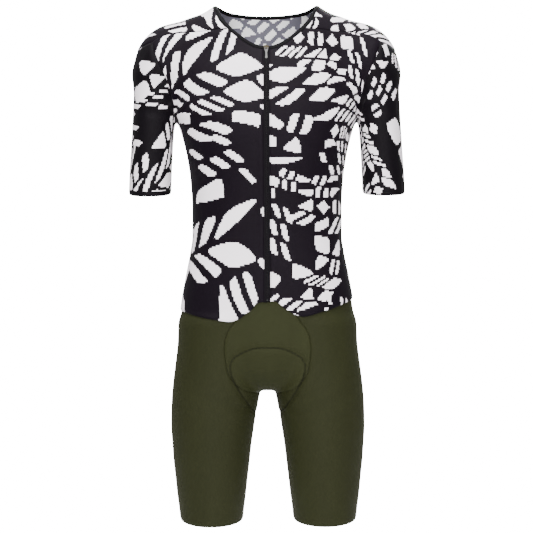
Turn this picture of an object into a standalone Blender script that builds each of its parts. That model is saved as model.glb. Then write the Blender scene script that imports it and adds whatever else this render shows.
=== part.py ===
"""A cycling aerosuit as it is worn: a zipped short-sleeved top over knee-length shorts.

The cloth stands where it does on a body, hollow, with the neck, cuffs, hem and legs open.
The wearer faces -Y, +Z is up, and the origin lies between the shoulders at the height of
their outer ends. Tables and sizes are in millimetres, and the meshes are made in metres.
"Right" and "left" are the wearer's: right is -X.

Every panel lies on one general figure of upright sections. A panel is a grid of points
between its seams, set on the figure, with a wall made along the figure's normals.
"""

from math import pi

import bpy
import bmesh
import numpy as np

MM = 0.001
TINY = 1e-9

# Walls and gaps.
WALL = 1.4            # knitted cloth
SEAM_GAP = 0.3        # between pieces that are sewn together
LAYER_GAP = 1.8       # between the top and the shorts that it hangs over
TOP_INSIDE = LAYER_GAP / 2
TOP_OUTSIDE = TOP_INSIDE + WALL
SHORTS_OUTSIDE = -LAYER_GAP / 2
SHORTS_INSIDE = SHORTS_OUTSIDE - WALL

# Heights and widths that several pieces share.
ZIP_HALF = 5.6        # from the zip's middle to the cut edges of the fronts
SHORTS_TOP = -496
HEM_TILT = 0.066      # the top hangs a little higher on the wearer's left
HIP_SEAM = -522       # height of the top's hem at the side and back
ARMPIT = (171, 0, -176)
CHEST = -176          # height of the level line that the panels' grids meet on
HIP = (164, 0)        # where the hem crosses the side seam, across and from front to back
LEG_HEM = (-923, 9)        # height at the sides, and how far the front dips below it
CUFF = (-316, 8)           # the same for the sleeves


class Table:
    """Rows of numbers with named columns, read at any place in the first column.

    Between rows each column runs on a smooth curve that never overshoots them.
    """

    def __init__(self, names, rows):
        rows = np.array(sorted(rows), float)
        self.names = names.split()
        self.places, self.values = rows[:, 0], rows[:, 1:]
        self.steps = np.diff(self.places)[:, None]
        slopes = np.diff(self.values, axis=0) / self.steps
        same_way = slopes[:-1] * slopes[1:] > 0
        together = np.where(same_way, slopes[:-1] + slopes[1:], 1)
        inner = np.where(same_way, 2 * slopes[:-1] * slopes[1:] / together, 0)
        self.slopes = np.vstack([slopes[:1], inner, slopes[-1:]])

    def at(self, place):
        """Every column but the first, at one place or several."""
        place = np.clip(place, self.places[0], self.places[-1])
        i = np.clip(np.searchsorted(self.places, place) - 1, 0, len(self.steps) - 1)
        step = self.steps[i]
        t = (place - self.places[i])[..., None] / step
        rest = 1 - t
        columns = ((1 + 2 * t) * rest * rest * self.values[i]
                   + t * t * (3 - 2 * t) * self.values[i + 1]
                   + step * t * rest * (rest * self.slopes[i] - t * self.slopes[i + 1]))
        return np.moveaxis(columns, -1, 0)


# The figure's upright sections, top to bottom: the middle of the section across, the half
# width, the depths in front of and behind the side line, and how square the section is.
TRUNK = Table("z middle half front back square", [
    (45, 0, 82, 42, 60, 2.0),
    (26, 0, 90, 46, 67, 2.0),
    (0, 0, 99, 54, 79, 2.0),
    (-27, 0, 123, 61, 89, 2.0),
    (-57, 0, 144, 72, 98, 2.1),
    (-100, 0, 160, 90, 108, 2.2),
    (-150, 0, 168, 105, 112, 2.25),
    (-174, 0, 168, 110, 111, 2.3),
    (-188, 0, 162, 112, 110, 2.3),
    (-217, 0, 153.5, 113, 106, 2.3),
    (-247, 0, 146.5, 111, 101, 2.3),
    (-292, 0, 140, 106, 93, 2.25),
    (-345, 0, 137, 101, 85, 2.2),
    (-396, 0, 137, 98, 83, 2.2),
    (-426, 0, 141, 97, 86, 2.2),
    (-471, 0, 150, 98, 95, 2.2),
    (-516, 0, 158, 99, 106, 2.2),
    (-560, 0, 163, 99, 115, 2.2),
    (-600, 0, 158, 97, 117, 2.2),
    (-640, 0, 135, 84, 101, 2.1),
    (-665, 0, 105, 64, 78, 2.0),
    (-690, 0, 62, 34, 44, 2.0),
])
ARM = Table("z middle half front back square", [
    (-50, 202, 38, 50, 52, 2.0),
    (-97, 206.5, 38.5, 49, 52, 2.0),
    (-142, 208.5, 37.5, 48, 50, 2.0),
    (-187, 211.2, 37, 47, 48, 2.0),
    (-232, 214.2, 36.7, 46, 47, 2.0),
    (-292, 217.5, 37.2, 45, 46, 2.0),
    (-340, 219, 37.3, 44, 45, 2.0),
])
LEG = Table("z middle half front back square", [
    (-540, 80, 84, 90, 100, 2.1),
    (-600, 85, 84, 90, 104, 2.1),
    (-640, 90, 84, 88, 100, 2.1),
    (-681, 95.8, 83, 86, 94, 2.1),
    (-711, 99.6, 81.2, 85, 90, 2.1),
    (-755, 103.3, 78, 82, 84, 2.05),
    (-785, 104.6, 74.8, 79, 80, 2.0),
    (-815, 105.3, 72, 75, 77, 2.0),
    (-845, 105.4, 68.6, 71, 73, 2.0),
    (-875, 105.6, 65.4, 67, 69, 2.0),
    (-905, 105.6, 61.6, 64, 65, 2.0),
    (-940, 105.2, 58, 61, 62, 2.0),
])
# The shoulder's ridge, from the neck outwards: its height, how deep the section under it
# reaches, and the half depth from front to back.
RIDGE = Table("x top half depth", [
    (30, 27, 42, 52),
    (92, 22.5, 42, 56),
    (130, 13.5, 43, 53),
    (163, 1.8, 44, 50),
    (190, -10, 44, 46),
    (230, -36, 42, 40),
])
RIDGE_BACK = 6        # the ridge runs this far behind the side line
RIDGE_END = 205
SHOULDER_BALL = {"middle": np.array([187, 2, -73]), "half": np.array([56, 53, 59])}
ARM_TOP = -85
ARM_END = -380
LEG_TOP = -545
TRUNK_END = -683
SOFTNESS = Table("z rounding", [(-160, 19), (-90, 38)])   # between the trunk and the arm
ROUNDING = {
    "ridge end": 20, "ball and arm": 26, "ball and ridge": 30, "limb ends": 20, "trunk end": 12,
    "between legs": 14, "hips": 12,
}
RAY_REACH = 220.0
RIM_ORDER = np.array([0.11, 0.37, 1])     # the direction that decides which end is lower

SLEEVE_CORE = 30      # a circle inside the arm, whose points the cuff's are cast from
SLEEVE_EASE = 0.9     # the sleeve's rings lie a little closer together towards the cuff

# Seams and edges of one half, as seen from the front: across and height.
NECK_FRONT = [(ZIP_HALF, -57), (21, -53.5), (31.5, -48), (44, -39.5), (59.5, -27), (71, -16)]
NECK_SIDE = [(71, -16), (79, -8), (86, 2), (90.5, 14)]
NECK_TOP = (93, 6, 25)
NECK_BACK = [(0, 19), (30, 19.5), (55, 21.5), (76, 24)]
SHOULDER_SEAM = [(71, -16), (120, -21), (175, -25), (210, -40)]
ARMHOLE_FRONT = [(210, -40), (199, -74), (188, -99), (179.5, -122), (173, -147)]
ARMHOLE_TOP = [(226, -28, -44), (238, 0, -56)]
ARMHOLE_BACK = [(226, -62), (208, -88), (191, -118), (178, -147)]
RIDGE_LINE = [(130, 6, 16), (163, 5, 5), (195, 4, -6), (222, 2, -26)]
CHEST_LINE = [80, 135, 158]
MIDDLE_LINE = [-300, -400]
SIDE_SEAM = [(140, 2, -340), (140, 2, -400)]
BACK_HEM = [60, 120]
TOP_HEM = [(ZIP_HALF, -518), (17, -519), (29, -530), (40, -538), (52, -545.5), (64, -549),
           (76, -548.5), (94, -544.5), (118, -539), (142, -531)]
FRONT_PANEL = [(45, SHORTS_TOP), (49, -530), (60, -555), (70, -568), (76.5, -585), (78.7, -604), (77, -622),
               (70, -651), (57.5, -668), (42.5, -679.5), (26, -685)]
SHORTS_MIDDLE = [(0, SHORTS_TOP), (0, -560), (0, -620)]
FRONT_LOW = (0, -660)
CROTCH = (16, 0, -686)
CROTCH_MIDDLE = (0, 0, -684)
CROTCH_BEHIND = (10, 32, -682)
CROTCH_TIP = (0, -668)     # where the front panel ends behind, across and height
CROTCH_DIP = 40            # the legs' rows dip this far under the crotch, clear of the seams
SEAM_PULL = 8              # how soon they leave the seams' heights
CROTCH_EASE = 1.15         # the seams' points lie closer together towards the crotch

# The largest soft folds, as ridges that run from one place to another on the front (-1) or
# back (1) of each half: across and height at both ends, width, and how far they rise.
FOLDS = [
    # from       to           facing width rise
    (213, -58, 186, -118, -1, 9, 2.6),     # sleeve head, beside the front seam
    (198, -50, 176, -96, -1, 8, 1.6),      # front, beside the same seam
    (176, -168, 207, -140, -1, 8, 2.2),    # sleeve, out from the armpit
    (160, -172, 122, -150, -1, 10, 1.8),   # front, in from the armpit
    (208, -92, 188, -132, 1, 9, 2.2),      # sleeve head behind
    (160, -172, 118, -140, 1, 11, 2.4),    # back, in from the armpit
    (40, -392, 112, -404, 1, 12, 2.0),     # small of the back
    (60, -676, 130, -664, 1, 9, 2.0),      # under the seat
]

# The seat pad: distance from its front edge over the crotch, and half width on the cloth.
PAD = Table("along half", [
    (0, 20), (4, 34), (12, 50), (24, 65), (40, 71), (60, 68), (85, 60), (112, 53),
    (140, 54), (165, 64), (190, 78), (215, 84), (240, 78), (258, 58), (266, 36),
])
PAD_FRONT = -599
PAD_BEHIND = [-648, -630, -610, -580]     # heights behind, up from the front panel's tip
PAD_STEPS = 200            # fine steps that its lengths are measured in
PAD_EDGE = 2.5
PAD_RISE = 4.5
PAD_GAP = 1.9              # under the cloth that it is sewn to
PAD_EASE = 1.35            # its points lie closer together towards its middle
PAD_STRIDES = 6            # steps over the figure from one of its columns to the next

# Edge binding round the neck, across its width and through its thickness.
BINDING = [(0, -0.3), (4.6, -0.3), (5.5, 0.7), (4.6, 1.8), (0, 1.8)]

# The zip. Its slider and pull are placed by the slider's middle: across, down the cloth, and
# out from the figure.
ZIP_TOP = -51.5
SLIDER_HEIGHT = -55
TAPES_PART = 1.3           # half the room between the tapes inside the slider
SLIDER_FACE = (TOP_OUTSIDE + SEAM_GAP, TOP_OUTSIDE + SEAM_GAP + 1.4)
SLIDER_BACK = (TOP_INSIDE - SEAM_GAP - 1.3, TOP_INSIDE - SEAM_GAP)
SLIDER_LENGTH = 8.6
SLIDER_WIDE = 10.2
SLIDER_NARROW = 7.6
SLIDER_CORNER = 0.9
SLIDER_POST = (-3.4, -1.4)
MERGE = 0.4                # how far joined shapes of the slider run into each other
CROWN_HALF = 1.2           # half the width of the arch that holds the pull
CROWN_FOOT = (2.5, 3.8)    # where its feet start and end, from the slider's middle
CROWN_ROOM = 2.1           # height of the opening under it
CROWN_THICK = 1.0
PULL_AXLE = 1.4            # the pull's bar, down from the slider's middle
PULL_THICK = 1.1
PULL_HOLE_HALF = 1.7
PULL_HOLE_ROW = 1          # the stretch of the table below that the hole takes up
PULL_EDGE = 0.4
# Down the pull from its bar: half its width, and how far it leans towards the cloth.
PULL = Table("down half lean", [
    (-0.55, 2.9, 0), (0.55, 3.6, 0), (3.6, 3.6, 0), (4.9, 3.3, 0.1), (7.5, 2.3, 0.5),
    (10.5, 1.85, 0.9), (14, 1.85, 1.2), (17, 2.1, 1.4), (19.5, 2.3, 1.5), (21, 1.5, 1.5),
])

# How many grid cells each edge is divided into.
CELLS = {
    "neck front": 5, "shoulder": 7, "neck side": 3, "neck back": 5, "armhole front": 7,
    "armhole top": 3, "armhole back": 8, "side": 13, "sleeve": 10, "seat": 13, "tip": 4,
    "inside leg": 10, "leg round": 20, "front panel": 4, "pad across": 14, "pad along": 20,
}


# ---- Curves and surfaces -------------------------------------------------------------

def evened(points, cells, ease=1):
    """A smooth curve through the points, as cells + 1 points the same distance apart.

    With a larger ease they lie closer together towards the curve's end.
    """
    points = np.array(points, float)
    chords = np.linalg.norm(np.diff(points, axis=0), axis=1)
    at = np.concatenate([[0], np.cumsum(chords)])
    inner = (points[2:] - points[:-2]) / (at[2:] - at[:-2])[:, None]
    first = 2 * (points[1] - points[0]) / chords[0]
    last = 2 * (points[-1] - points[-2]) / chords[-1]
    if len(points) == 2:
        tangents = np.array([first, last]) / 2
    else:
        tangents = np.vstack([first - inner[0], inner, last - inner[-1]])
    fine = []
    for i, chord in enumerate(chords):
        t = np.linspace(0, 1, 24, endpoint=False)[:, None]
        fine.append((1 + 2 * t) * (1 - t) ** 2 * points[i] + t * t * (3 - 2 * t) * points[i + 1]
                    + chord * t * (1 - t) * ((1 - t) * tangents[i] - t * tangents[i + 1]))
    fine = np.vstack(fine + [points[-1:]])
    length = np.concatenate([[0], np.cumsum(np.linalg.norm(np.diff(fine, axis=0), axis=1))])
    wanted = length[-1] * (1 - np.linspace(1, 0, cells + 1) ** ease)
    return np.stack([np.interp(wanted, length, fine[:, axis]) for axis in range(3)], axis=1)


def patch(bottom, top, start, end):
    """The grid between four edges. Bottom and top run from the start edge to the end edge."""
    u = np.linspace(0, 1, len(bottom))[None, :, None]
    v = np.linspace(0, 1, len(start))[:, None, None]
    corners = ((1 - v) * ((1 - u) * bottom[0] + u * bottom[-1])
               + v * ((1 - u) * top[0] + u * top[-1]))
    return (1 - v) * bottom[None] + v * top[None] + (1 - u) * start[:, None] + u * end[:, None] - corners


# ---- The figure ----------------------------------------------------------------------

def united(a, b, rounding):
    """The two shapes as one, with the inner corner between them rounded."""
    near = np.maximum(rounding - np.abs(a - b), 0) / rounding
    return np.minimum(a, b) - near * near * rounding / 4


def shared(a, b, rounding):
    """Only what lies in both shapes."""
    return -united(-a, -b, rounding)


def radial(across, along, half, depth, square):
    """How far a place lies outside a section, measured from the section's middle."""
    reach = np.hypot(across, along)
    size = ((np.abs(across) / half) ** square + (np.abs(along) / depth) ** square) ** (1 / square)
    return reach - reach / np.maximum(size, TINY) - TINY


def sections(points, rows):
    """How far points lie outside the trunk or a limb."""
    x, y, z = points.T
    middle, half, front, back, square = rows.at(z)
    return radial(x - middle, y, half, np.where(y < 0, front, back), square)


def figure(points):
    """How far points lie outside the figure: zero on it, negative inside."""
    other_side = points * [-1, 1, 1]
    one_side = np.where(points[:, :1] < 0, other_side, points)
    x, y, z = one_side.T
    top, half, depth = RIDGE.at(x)
    yoke = radial(z - top + half, y - RIDGE_BACK, half, depth, 2)
    yoke = shared(yoke, x - RIDGE_END, ROUNDING["ridge end"])
    offset = one_side - SHOULDER_BALL["middle"]
    reach = np.linalg.norm(offset, axis=1)
    ball = reach - reach / np.maximum(np.linalg.norm(offset / SHOULDER_BALL["half"], axis=1), TINY)
    ends = np.maximum(z - ARM_TOP, ARM_END - z)
    arm = shared(sections(one_side, ARM), ends, ROUNDING["limb ends"])
    shoulder = united(united(ball, arm, ROUNDING["ball and arm"]), yoke, ROUNDING["ball and ridge"])
    trunk = shared(sections(one_side, TRUNK), TRUNK_END - z, ROUNDING["trunk end"])
    upper = united(trunk, shoulder, SOFTNESS.at(z)[0])
    legs = united(sections(points, LEG), sections(other_side, LEG), ROUNDING["between legs"])
    return united(upper, shared(legs, z - LEG_TOP, ROUNDING["limb ends"]), ROUNDING["hips"])


def steepest(points, step=0.25):
    """The figure's slope in each direction."""
    shifts = np.eye(3) * step
    return np.stack([(figure(points + s) - figure(points - s)) / (2 * step) for s in shifts], axis=1)


def outward(points):
    slope = steepest(points)
    return slope / np.linalg.norm(slope, axis=1)[:, None]


def settled(points):
    """The points moved onto the figure."""
    shape = np.shape(points)
    points = np.array(points, float).reshape(-1, 3)
    for _ in range(12):
        depth = figure(points)[:, None]
        if np.abs(depth).max() < 1e-4:
            break
        slope = steepest(points)
        move = depth * slope / (slope * slope).sum(axis=1)[:, None]
        size = np.linalg.norm(move, axis=1)[:, None]
        points = points - move * np.minimum(1, 20 / np.maximum(size, TINY))
    return points.reshape(shape)


def crossed(starts, directions, leaving):
    """Where rays first leave the figure, or first enter it."""
    starts, directions = np.broadcast_arrays(np.array(starts, float), np.array(directions, float))
    steps = np.linspace(0, RAY_REACH, 111)
    points = starts[None] + directions[None] * steps[:, None, None]
    before = (figure(points.reshape(-1, 3)) < 0).reshape(len(steps), len(starts)) == leaving
    first = np.argmax(before[:-1] & ~before[1:], axis=0)
    low, high = steps[first], steps[first + 1]
    for _ in range(18):
        half = (low + high) / 2
        still = (figure(starts + directions * half[:, None]) < 0) == leaving
        low, high = np.where(still, half, low), np.where(still, high, half)
    return starts + directions * low[:, None]


def seen(points, facing):
    """Points given across and in height, on the front (-1) or back (+1) of the figure."""
    points = np.array(points, float)
    level = np.full(len(points), facing * RAY_REACH)
    starts = np.stack([points[:, 0], level, points[:, 1]], axis=1)
    return crossed(starts, [[0, -facing, 0]], False)


def raised(points, normals):
    """How far the folds lift the cloth at each point."""
    lift = np.zeros(len(points))
    for x1, z1, x2, z2, facing, width, rise in FOLDS:
        ends = seen([(x1, z1), (x2, z2)], facing)
        for side in (1, -1):
            start, end = ends * [side, 1, 1]
            run = end - start
            share = np.clip((points - start) @ run / (run @ run), 0, 1)
            away = np.linalg.norm(points - start - share[:, None] * run, axis=1)
            lift += rise * np.exp(-(away / width) ** 2) * (1 + 0.12 * side)
    return normals * lift[:, None]


# ---- Edges that panels share -----------------------------------------------------------

def edge(points, cells, ease=1):
    return settled(evened(points, CELLS[cells] if isinstance(cells, str) else cells, ease))


def hem_height(x, side):
    """The top's hem at its side: a little higher on the wearer's left."""
    return HIP_SEAM + HEM_TILT * side * x


def top_edges(side):
    """The seams of the top's half on the wearer's left (side 1) or right (side -1)."""
    put = np.array([side, 1, 1])
    armpit = settled([ARMPIT])[0]
    edges = {}
    neck = seen(NECK_FRONT, -1)
    edges["neck front"] = edge(neck, "neck front")
    crest = settled([NECK_TOP])[0]
    edges["neck side"] = edge(np.vstack([seen(NECK_SIDE, -1), [crest]]), "neck side")
    edges["neck back"] = edge(np.vstack([seen(NECK_BACK, 1), [crest]]), "neck back")
    edges["shoulder"] = edge(seen(SHOULDER_SEAM, -1), "shoulder")
    front = np.vstack([seen(ARMHOLE_FRONT, -1), [armpit]])
    edges["armhole front"] = edge(front, "armhole front")
    over = settled(ARMHOLE_TOP)
    edges["armhole top"] = edge(np.vstack([front[:1], over]), "armhole top")
    edges["armhole back"] = edge(
        np.vstack([over[-1:], seen(ARMHOLE_BACK, 1), [armpit]]), "armhole back")
    edges["ridge"] = edge(np.vstack([[crest], settled(RIDGE_LINE), over[-1:]]), "shoulder")
    hip = settled([(*HIP, hem_height(HIP[0], side))])[0]
    edges["side"] = edge([armpit, *SIDE_SEAM, hip], "side")
    front_hem = [(x, z + HEM_TILT * side * x) for x, z in TOP_HEM]
    across = CELLS["neck front"] + CELLS["shoulder"]
    edges["hem front"] = edge(np.vstack([seen(front_hem, -1), [hip]]), across)
    zip_line = seen([(ZIP_HALF, z) for z in (CHEST, *MIDDLE_LINE)], -1)
    edges["zip upper"] = edge(np.vstack([neck[:1], zip_line[:1]]), "armhole front")
    edges["zip lower"] = edge(np.vstack([zip_line, edges["hem front"][:1]]), "side")
    edges["chest"] = edge(chest_line(zip_line[0], armpit, -1), across)
    middle = seen([(0, z) for z in (CHEST, *MIDDLE_LINE, HIP_SEAM)], 1)
    edges["back upper"] = edge(np.vstack([edges["neck back"][:1], middle[:1]]), "armhole back")
    edges["back lower"] = edge(middle, "side")
    behind = CELLS["neck back"] + CELLS["shoulder"]
    edges["back line"] = edge(chest_line(middle[0], armpit, 1), behind)
    back_hem = seen([(x, hem_height(x, side)) for x in BACK_HEM], 1)
    edges["hem back"] = edge(np.vstack([middle[-1:], back_hem, [hip]]), behind)
    return {name: points * put for name, points in edges.items()}


def chest_line(middle, armpit, facing):
    """The level line from the middle of the front or back round to the armpit."""
    level = seen([(x, middle[2]) for x in CHEST_LINE], facing)
    return np.vstack([[middle], level, [armpit]])


def leg_edges():
    """The seams of the shorts' half on the wearer's left."""
    crotch = settled([CROTCH])[0]
    front = seen(FRONT_PANEL, -1)
    tip = seen([CROTCH_TIP], 1)[0]
    behind = settled([CROTCH_BEHIND])[0]
    edges = {"front": edge(np.vstack([front, [crotch]]), "seat", CROTCH_EASE)}
    seat = edge(seen(SHORTS_MIDDLE + [CROTCH_TIP], 1), CELLS["seat"] - CELLS["tip"], CROTCH_EASE)
    edges["tip"] = edge([tip, behind, crotch], "tip")
    edges["back"] = np.vstack([seat, edges["tip"][1:]])
    centre = np.vstack([seen(SHORTS_MIDDLE + [FRONT_LOW], -1), settled([CROTCH_MIDDLE])])
    centre = edge(centre, "seat", CROTCH_EASE)
    under = edge([centre[-1], behind * [0, 1, 1], tip], "tip")
    edges["centre"] = np.vstack([centre, under[1:]])
    return edges


# ---- Pieces ----------------------------------------------------------------------------

def grid_faces(rows, columns, first=0):
    """The quads of a grid of points."""
    return [(first + r * columns + c, first + r * columns + c + 1,
             first + (r + 1) * columns + c + 1, first + (r + 1) * columns + c)
            for r in range(rows - 1) for c in range(columns - 1)]


def joined(grids):
    """Grids that meet, as one set of points and faces that look outward."""
    points = np.vstack([grid.reshape(-1, 3) for grid in grids])
    faces, first = [], 0
    for grid in grids:
        quads = grid_faces(grid.shape[0], grid.shape[1], first)
        corners = points[np.array(quads)]
        facing = np.cross(corners[:, 2] - corners[:, 0], corners[:, 3] - corners[:, 1])
        if (facing * outward(corners.mean(axis=1))).sum() < 0:
            quads = [quad[::-1] for quad in quads]
        faces += quads
        first += grid.shape[0] * grid.shape[1]
    _, keep, same = np.unique(np.round(points, 3), axis=0, return_index=True, return_inverse=True)
    same = same.reshape(-1)
    welded = []
    for face in faces:
        ring = [same[i] for i in face]
        ring = [a for a, b in zip(ring, ring[1:] + ring[:1]) if a != b]
        if len(ring) > 2:
            welded.append(tuple(ring))
    return points[keep], welded


def open_edges(faces):
    """The edges with a face on one side only, in their face's direction."""
    used = {(a, b) for face in faces for a, b in zip(face, face[1:] + face[:1])}
    return sorted((a, b) for a, b in used if (b, a) not in used)


def drawn_in(points, faces, normals):
    """The points with every open edge moved half a seam gap into the panel."""
    points = points.copy()
    inward = {}
    for a, b in open_edges(faces):
        across = np.cross(normals[a] + normals[b], points[b] - points[a])
        across /= np.linalg.norm(across)
        for end in (a, b):
            inward.setdefault(end, []).append(across)
    for end, (one, other) in inward.items():
        points[end] += (one + other) * SEAM_GAP / 2 / max(1 + one @ other, 0.5)
    return points


def walled(points, faces, inner, outer):
    """A closed wall from its inner points, its outer points and the faces between them."""
    count = len(points)
    back = [tuple(i + count for i in face[::-1]) for face in faces]
    rim = []
    for a, b in open_edges(faces):
        # Both sides of a seam split their rims from the lower end, so that twisted rims match.
        if points[a] @ RIM_ORDER < points[b] @ RIM_ORDER:
            rim += [(b, a, b + count), (a, a + count, b + count)]
        else:
            rim += [(b, a, a + count), (b, a + count, b + count)]
    return np.vstack([outer, inner]), faces + back + rim


def panel(name, grids, inside, outside, material):
    """A piece of cloth on the figure."""
    points, faces = joined(grids)
    normals = outward(points)
    points = drawn_in(points, faces, normals) + raised(points, normals)
    points, faces = walled(points, faces, points + normals * inside, points + normals * outside)
    return solid(name, points, faces, material)


def solid(name, points, faces, material, origin=(0, 0, 0)):
    """One closed body, in metres, with its own origin."""
    shape = bmesh.new()
    corners = [shape.verts.new((point - origin) * MM) for point in points]
    for face in faces:
        shape.faces.new([corners[i] for i in face])
    shape.normal_update()
    bmesh.ops.triangulate(shape, faces=shape.faces)
    mesh = bpy.data.meshes.new(name)
    shape.to_mesh(mesh)
    shape.free()
    mesh.shade_smooth()
    mesh.materials.append(material)
    piece = bpy.data.objects.new(name, mesh)
    piece.location = np.array(origin) * MM
    bpy.context.collection.objects.link(piece)
    return piece


def front(name, edges, material):
    upper = patch(edges["chest"], np.vstack([edges["neck front"], edges["shoulder"][1:]]),
                  edges["zip upper"][::-1], edges["armhole front"][::-1])
    lower = patch(edges["chest"], edges["hem front"], edges["zip lower"], edges["side"])
    panel(name, [on_figure(upper), on_figure(lower)], TOP_INSIDE, TOP_OUTSIDE, material)


def back(name, halves, material):
    grids = []
    for edges in halves:
        crest = np.vstack([edges["neck back"], edges["ridge"][1:]])
        grids += [
            patch(edges["back line"], crest, edges["back upper"][::-1], edges["armhole back"][::-1]),
            patch(edges["back line"], edges["hem back"], edges["back lower"], edges["side"]),
            patch(edges["shoulder"], edges["ridge"], edges["neck side"], edges["armhole top"]),
        ]
    panel(name, [on_figure(grid) for grid in grids], TOP_INSIDE, TOP_OUTSIDE, material)


def on_figure(grid):
    """The grid with its inner points moved onto the figure and its edges left as they are."""
    grid[1:-1, 1:-1] = settled(grid[1:-1, 1:-1])
    return grid


def rim_height(rim, facing):
    """The height of a cuff or leg hem: facing is 1 at the front and -1 behind."""
    height, dip = rim
    return height - dip * facing


def sleeve(name, edges, side, material):
    """A tube from the armhole to the cuff."""
    loop = np.vstack([edges["armhole front"][::-1], edges["armhole top"][1:],
                      edges["armhole back"][1:]])
    turn = np.linspace(0, 2 * pi, len(loop))
    middle = ARM.at(CUFF[0])[0]
    cuff = np.stack([side * (middle - SLEEVE_CORE * np.cos(turn)), -SLEEVE_CORE * np.sin(turn),
                     rim_height(CUFF, np.sin(turn))], axis=1)
    cuff = level_onto(cuff, side * middle)
    down = np.linspace(0, 1, CELLS["sleeve"] + 1)[:, None, None] ** SLEEVE_EASE
    rows = settled((1 - down) * loop + down * cuff)
    rows[0], rows[-1] = loop, cuff
    rows[:, -1] = rows[:, 0]
    panel(name, [rows], TOP_INSIDE, TOP_OUTSIDE, material)


def level_onto(points, middle):
    """Points moved level, away from the limb's middle, onto the figure."""
    starts = np.stack([np.full(len(points), middle), np.zeros(len(points)), points[:, 2]], axis=1)
    away = (points - starts) * [1, 1, 0]
    return crossed(starts, away / np.linalg.norm(away, axis=1)[:, None], True)


def leg(name, edges, side, material):
    """A leg of the shorts, from the waist to its hem, round from the front to the back seam."""
    seat, inside = CELLS["seat"], CELLS["inside leg"]
    crotch = edges["front"][-1, 2]
    dipped = crotch - CROTCH_DIP
    share = np.linspace(0, 1, seat + 1)
    height = np.concatenate([edges["front"][:, 2] - CROTCH_DIP * share ** 3,
                             np.linspace(dipped, LEG_HEM[0], inside + 1)[1:]])
    middle = LEG.at(height)[0]
    start, end = (np.zeros((len(height), 3)) for _ in range(2))
    below = np.arange(len(height)) - seat
    start[:, 2] = end[:, 2] = height + CROTCH_DIP * np.clip(1 - below / 3, 0, 1)
    start[:seat + 1], end[:seat + 1] = edges["front"], edges["back"]
    first = np.where(below < 0, np.arctan2(-start[:, 1], middle - start[:, 0]), 0)
    last = 2 * pi + np.where(below < 0, np.arctan2(-end[:, 1], middle - end[:, 0]), 0)
    turn = np.linspace(0, 1, CELLS["leg round"] + 1)[None]
    middle, height, first, last = (values[:, None] for values in (middle, height, first, last))
    angle = first + (last - first) * turn
    down = np.clip((dipped - height) / (dipped - LEG_HEM[0]), 0, 1)
    level = (height + (start[:, 2:] - height) * (1 - turn) ** SEAM_PULL
             + (end[:, 2:] - height) * turn ** SEAM_PULL
             + down ** 3 * (rim_height(LEG_HEM, np.sin(angle)) - LEG_HEM[0]))
    starts = np.stack([middle + 0 * angle, 0 * angle, level], axis=2)
    away = np.stack([-np.cos(angle), -np.sin(angle), 0 * angle], axis=2)
    rows = crossed(starts.reshape(-1, 3), away.reshape(-1, 3), True).reshape(starts.shape)
    rows[:seat + 1, 0], rows[:seat + 1, -1] = edges["front"], edges["back"]
    rows[seat + 1:, -1] = rows[seat + 1:, 0]
    panel(name, [rows * [side, 1, 1]], SHORTS_INSIDE, SHORTS_OUTSIDE, material)


def shorts_front(name, edges, material):
    """The oval front panel, which runs under the crotch to a point behind."""
    grids = []
    for side in (1, -1):
        rim = np.vstack([edges["front"], edges["tip"][::-1][1:]])
        top = edge([edges["centre"][0], edges["front"][0]], "front panel")
        tip = np.repeat(rim[-1:], CELLS["front panel"] + 1, axis=0)
        grid = on_figure(patch(top, tip, edges["centre"], rim))
        grids.append(grid * [side, 1, 1])
    panel(name, grids, SHORTS_INSIDE, SHORTS_OUTSIDE, material)


def seat_pad(name, edges, material):
    """The pad inside the shorts, thickest down its middle."""
    start = np.argmin(np.abs(edges["centre"][:CELLS["seat"], 2] - PAD_FRONT))
    under = edges["centre"][start + 1:]
    front, behind = seen([(0, PAD_FRONT)], -1), seen([(0, z) for z in PAD_BEHIND], 1)
    spine = edge(np.vstack([front, under, behind]), PAD_STEPS)
    along = np.concatenate([[0], np.cumsum(np.linalg.norm(np.diff(spine, axis=0), axis=1))])
    ease = (1 - np.cos(np.linspace(0, pi, CELLS["pad along"] + 1))) / 2
    places = PAD.places[-1] * (ease + np.linspace(0, 1, len(ease))) / 2
    middle = settled(np.stack([np.interp(places, along, spine[:, axis]) for axis in range(3)], axis=1))
    half = PAD.at(places)[0]
    columns = {0: middle}
    reach = CELLS["pad across"] // 2
    for side in (1, -1):
        here, heading = middle, np.array([side, 0, 0]) * np.ones((len(middle), 1))
        for column in range(1, reach + 1):
            share = (column / reach) ** PAD_EASE - ((column - 1) / reach) ** PAD_EASE
            stride = half[:, None] * share / PAD_STRIDES
            for _ in range(PAD_STRIDES):
                normal = outward(here)
                heading = heading - (heading * normal).sum(axis=1)[:, None] * normal
                heading /= np.linalg.norm(heading, axis=1)[:, None]
                there = settled(here + heading * stride)
                heading, here = there - here, there
            columns[side * column] = here
    grid = np.stack([columns[i] for i in range(-reach, reach + 1)], axis=1)
    points, faces = joined([grid])
    normals = outward(points)
    across = np.abs(np.tile(np.linspace(-1, 1, grid.shape[1]), grid.shape[0])) ** PAD_EASE
    lengthways = np.repeat(np.abs(2 * places / places[-1] - 1), grid.shape[1])
    thick = PAD_EDGE + PAD_RISE * (1 - across ** 3) * (1 - lengthways ** 4)
    flat = grid.reshape(-1, 3)
    order = [int(np.argmin(((flat - point) ** 2).sum(axis=1))) for point in points]
    top = points + normals * (SHORTS_INSIDE - PAD_GAP)
    points, faces = walled(points, faces, top - normals * thick[order, None], top)
    solid(name, points, faces, material)


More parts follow.
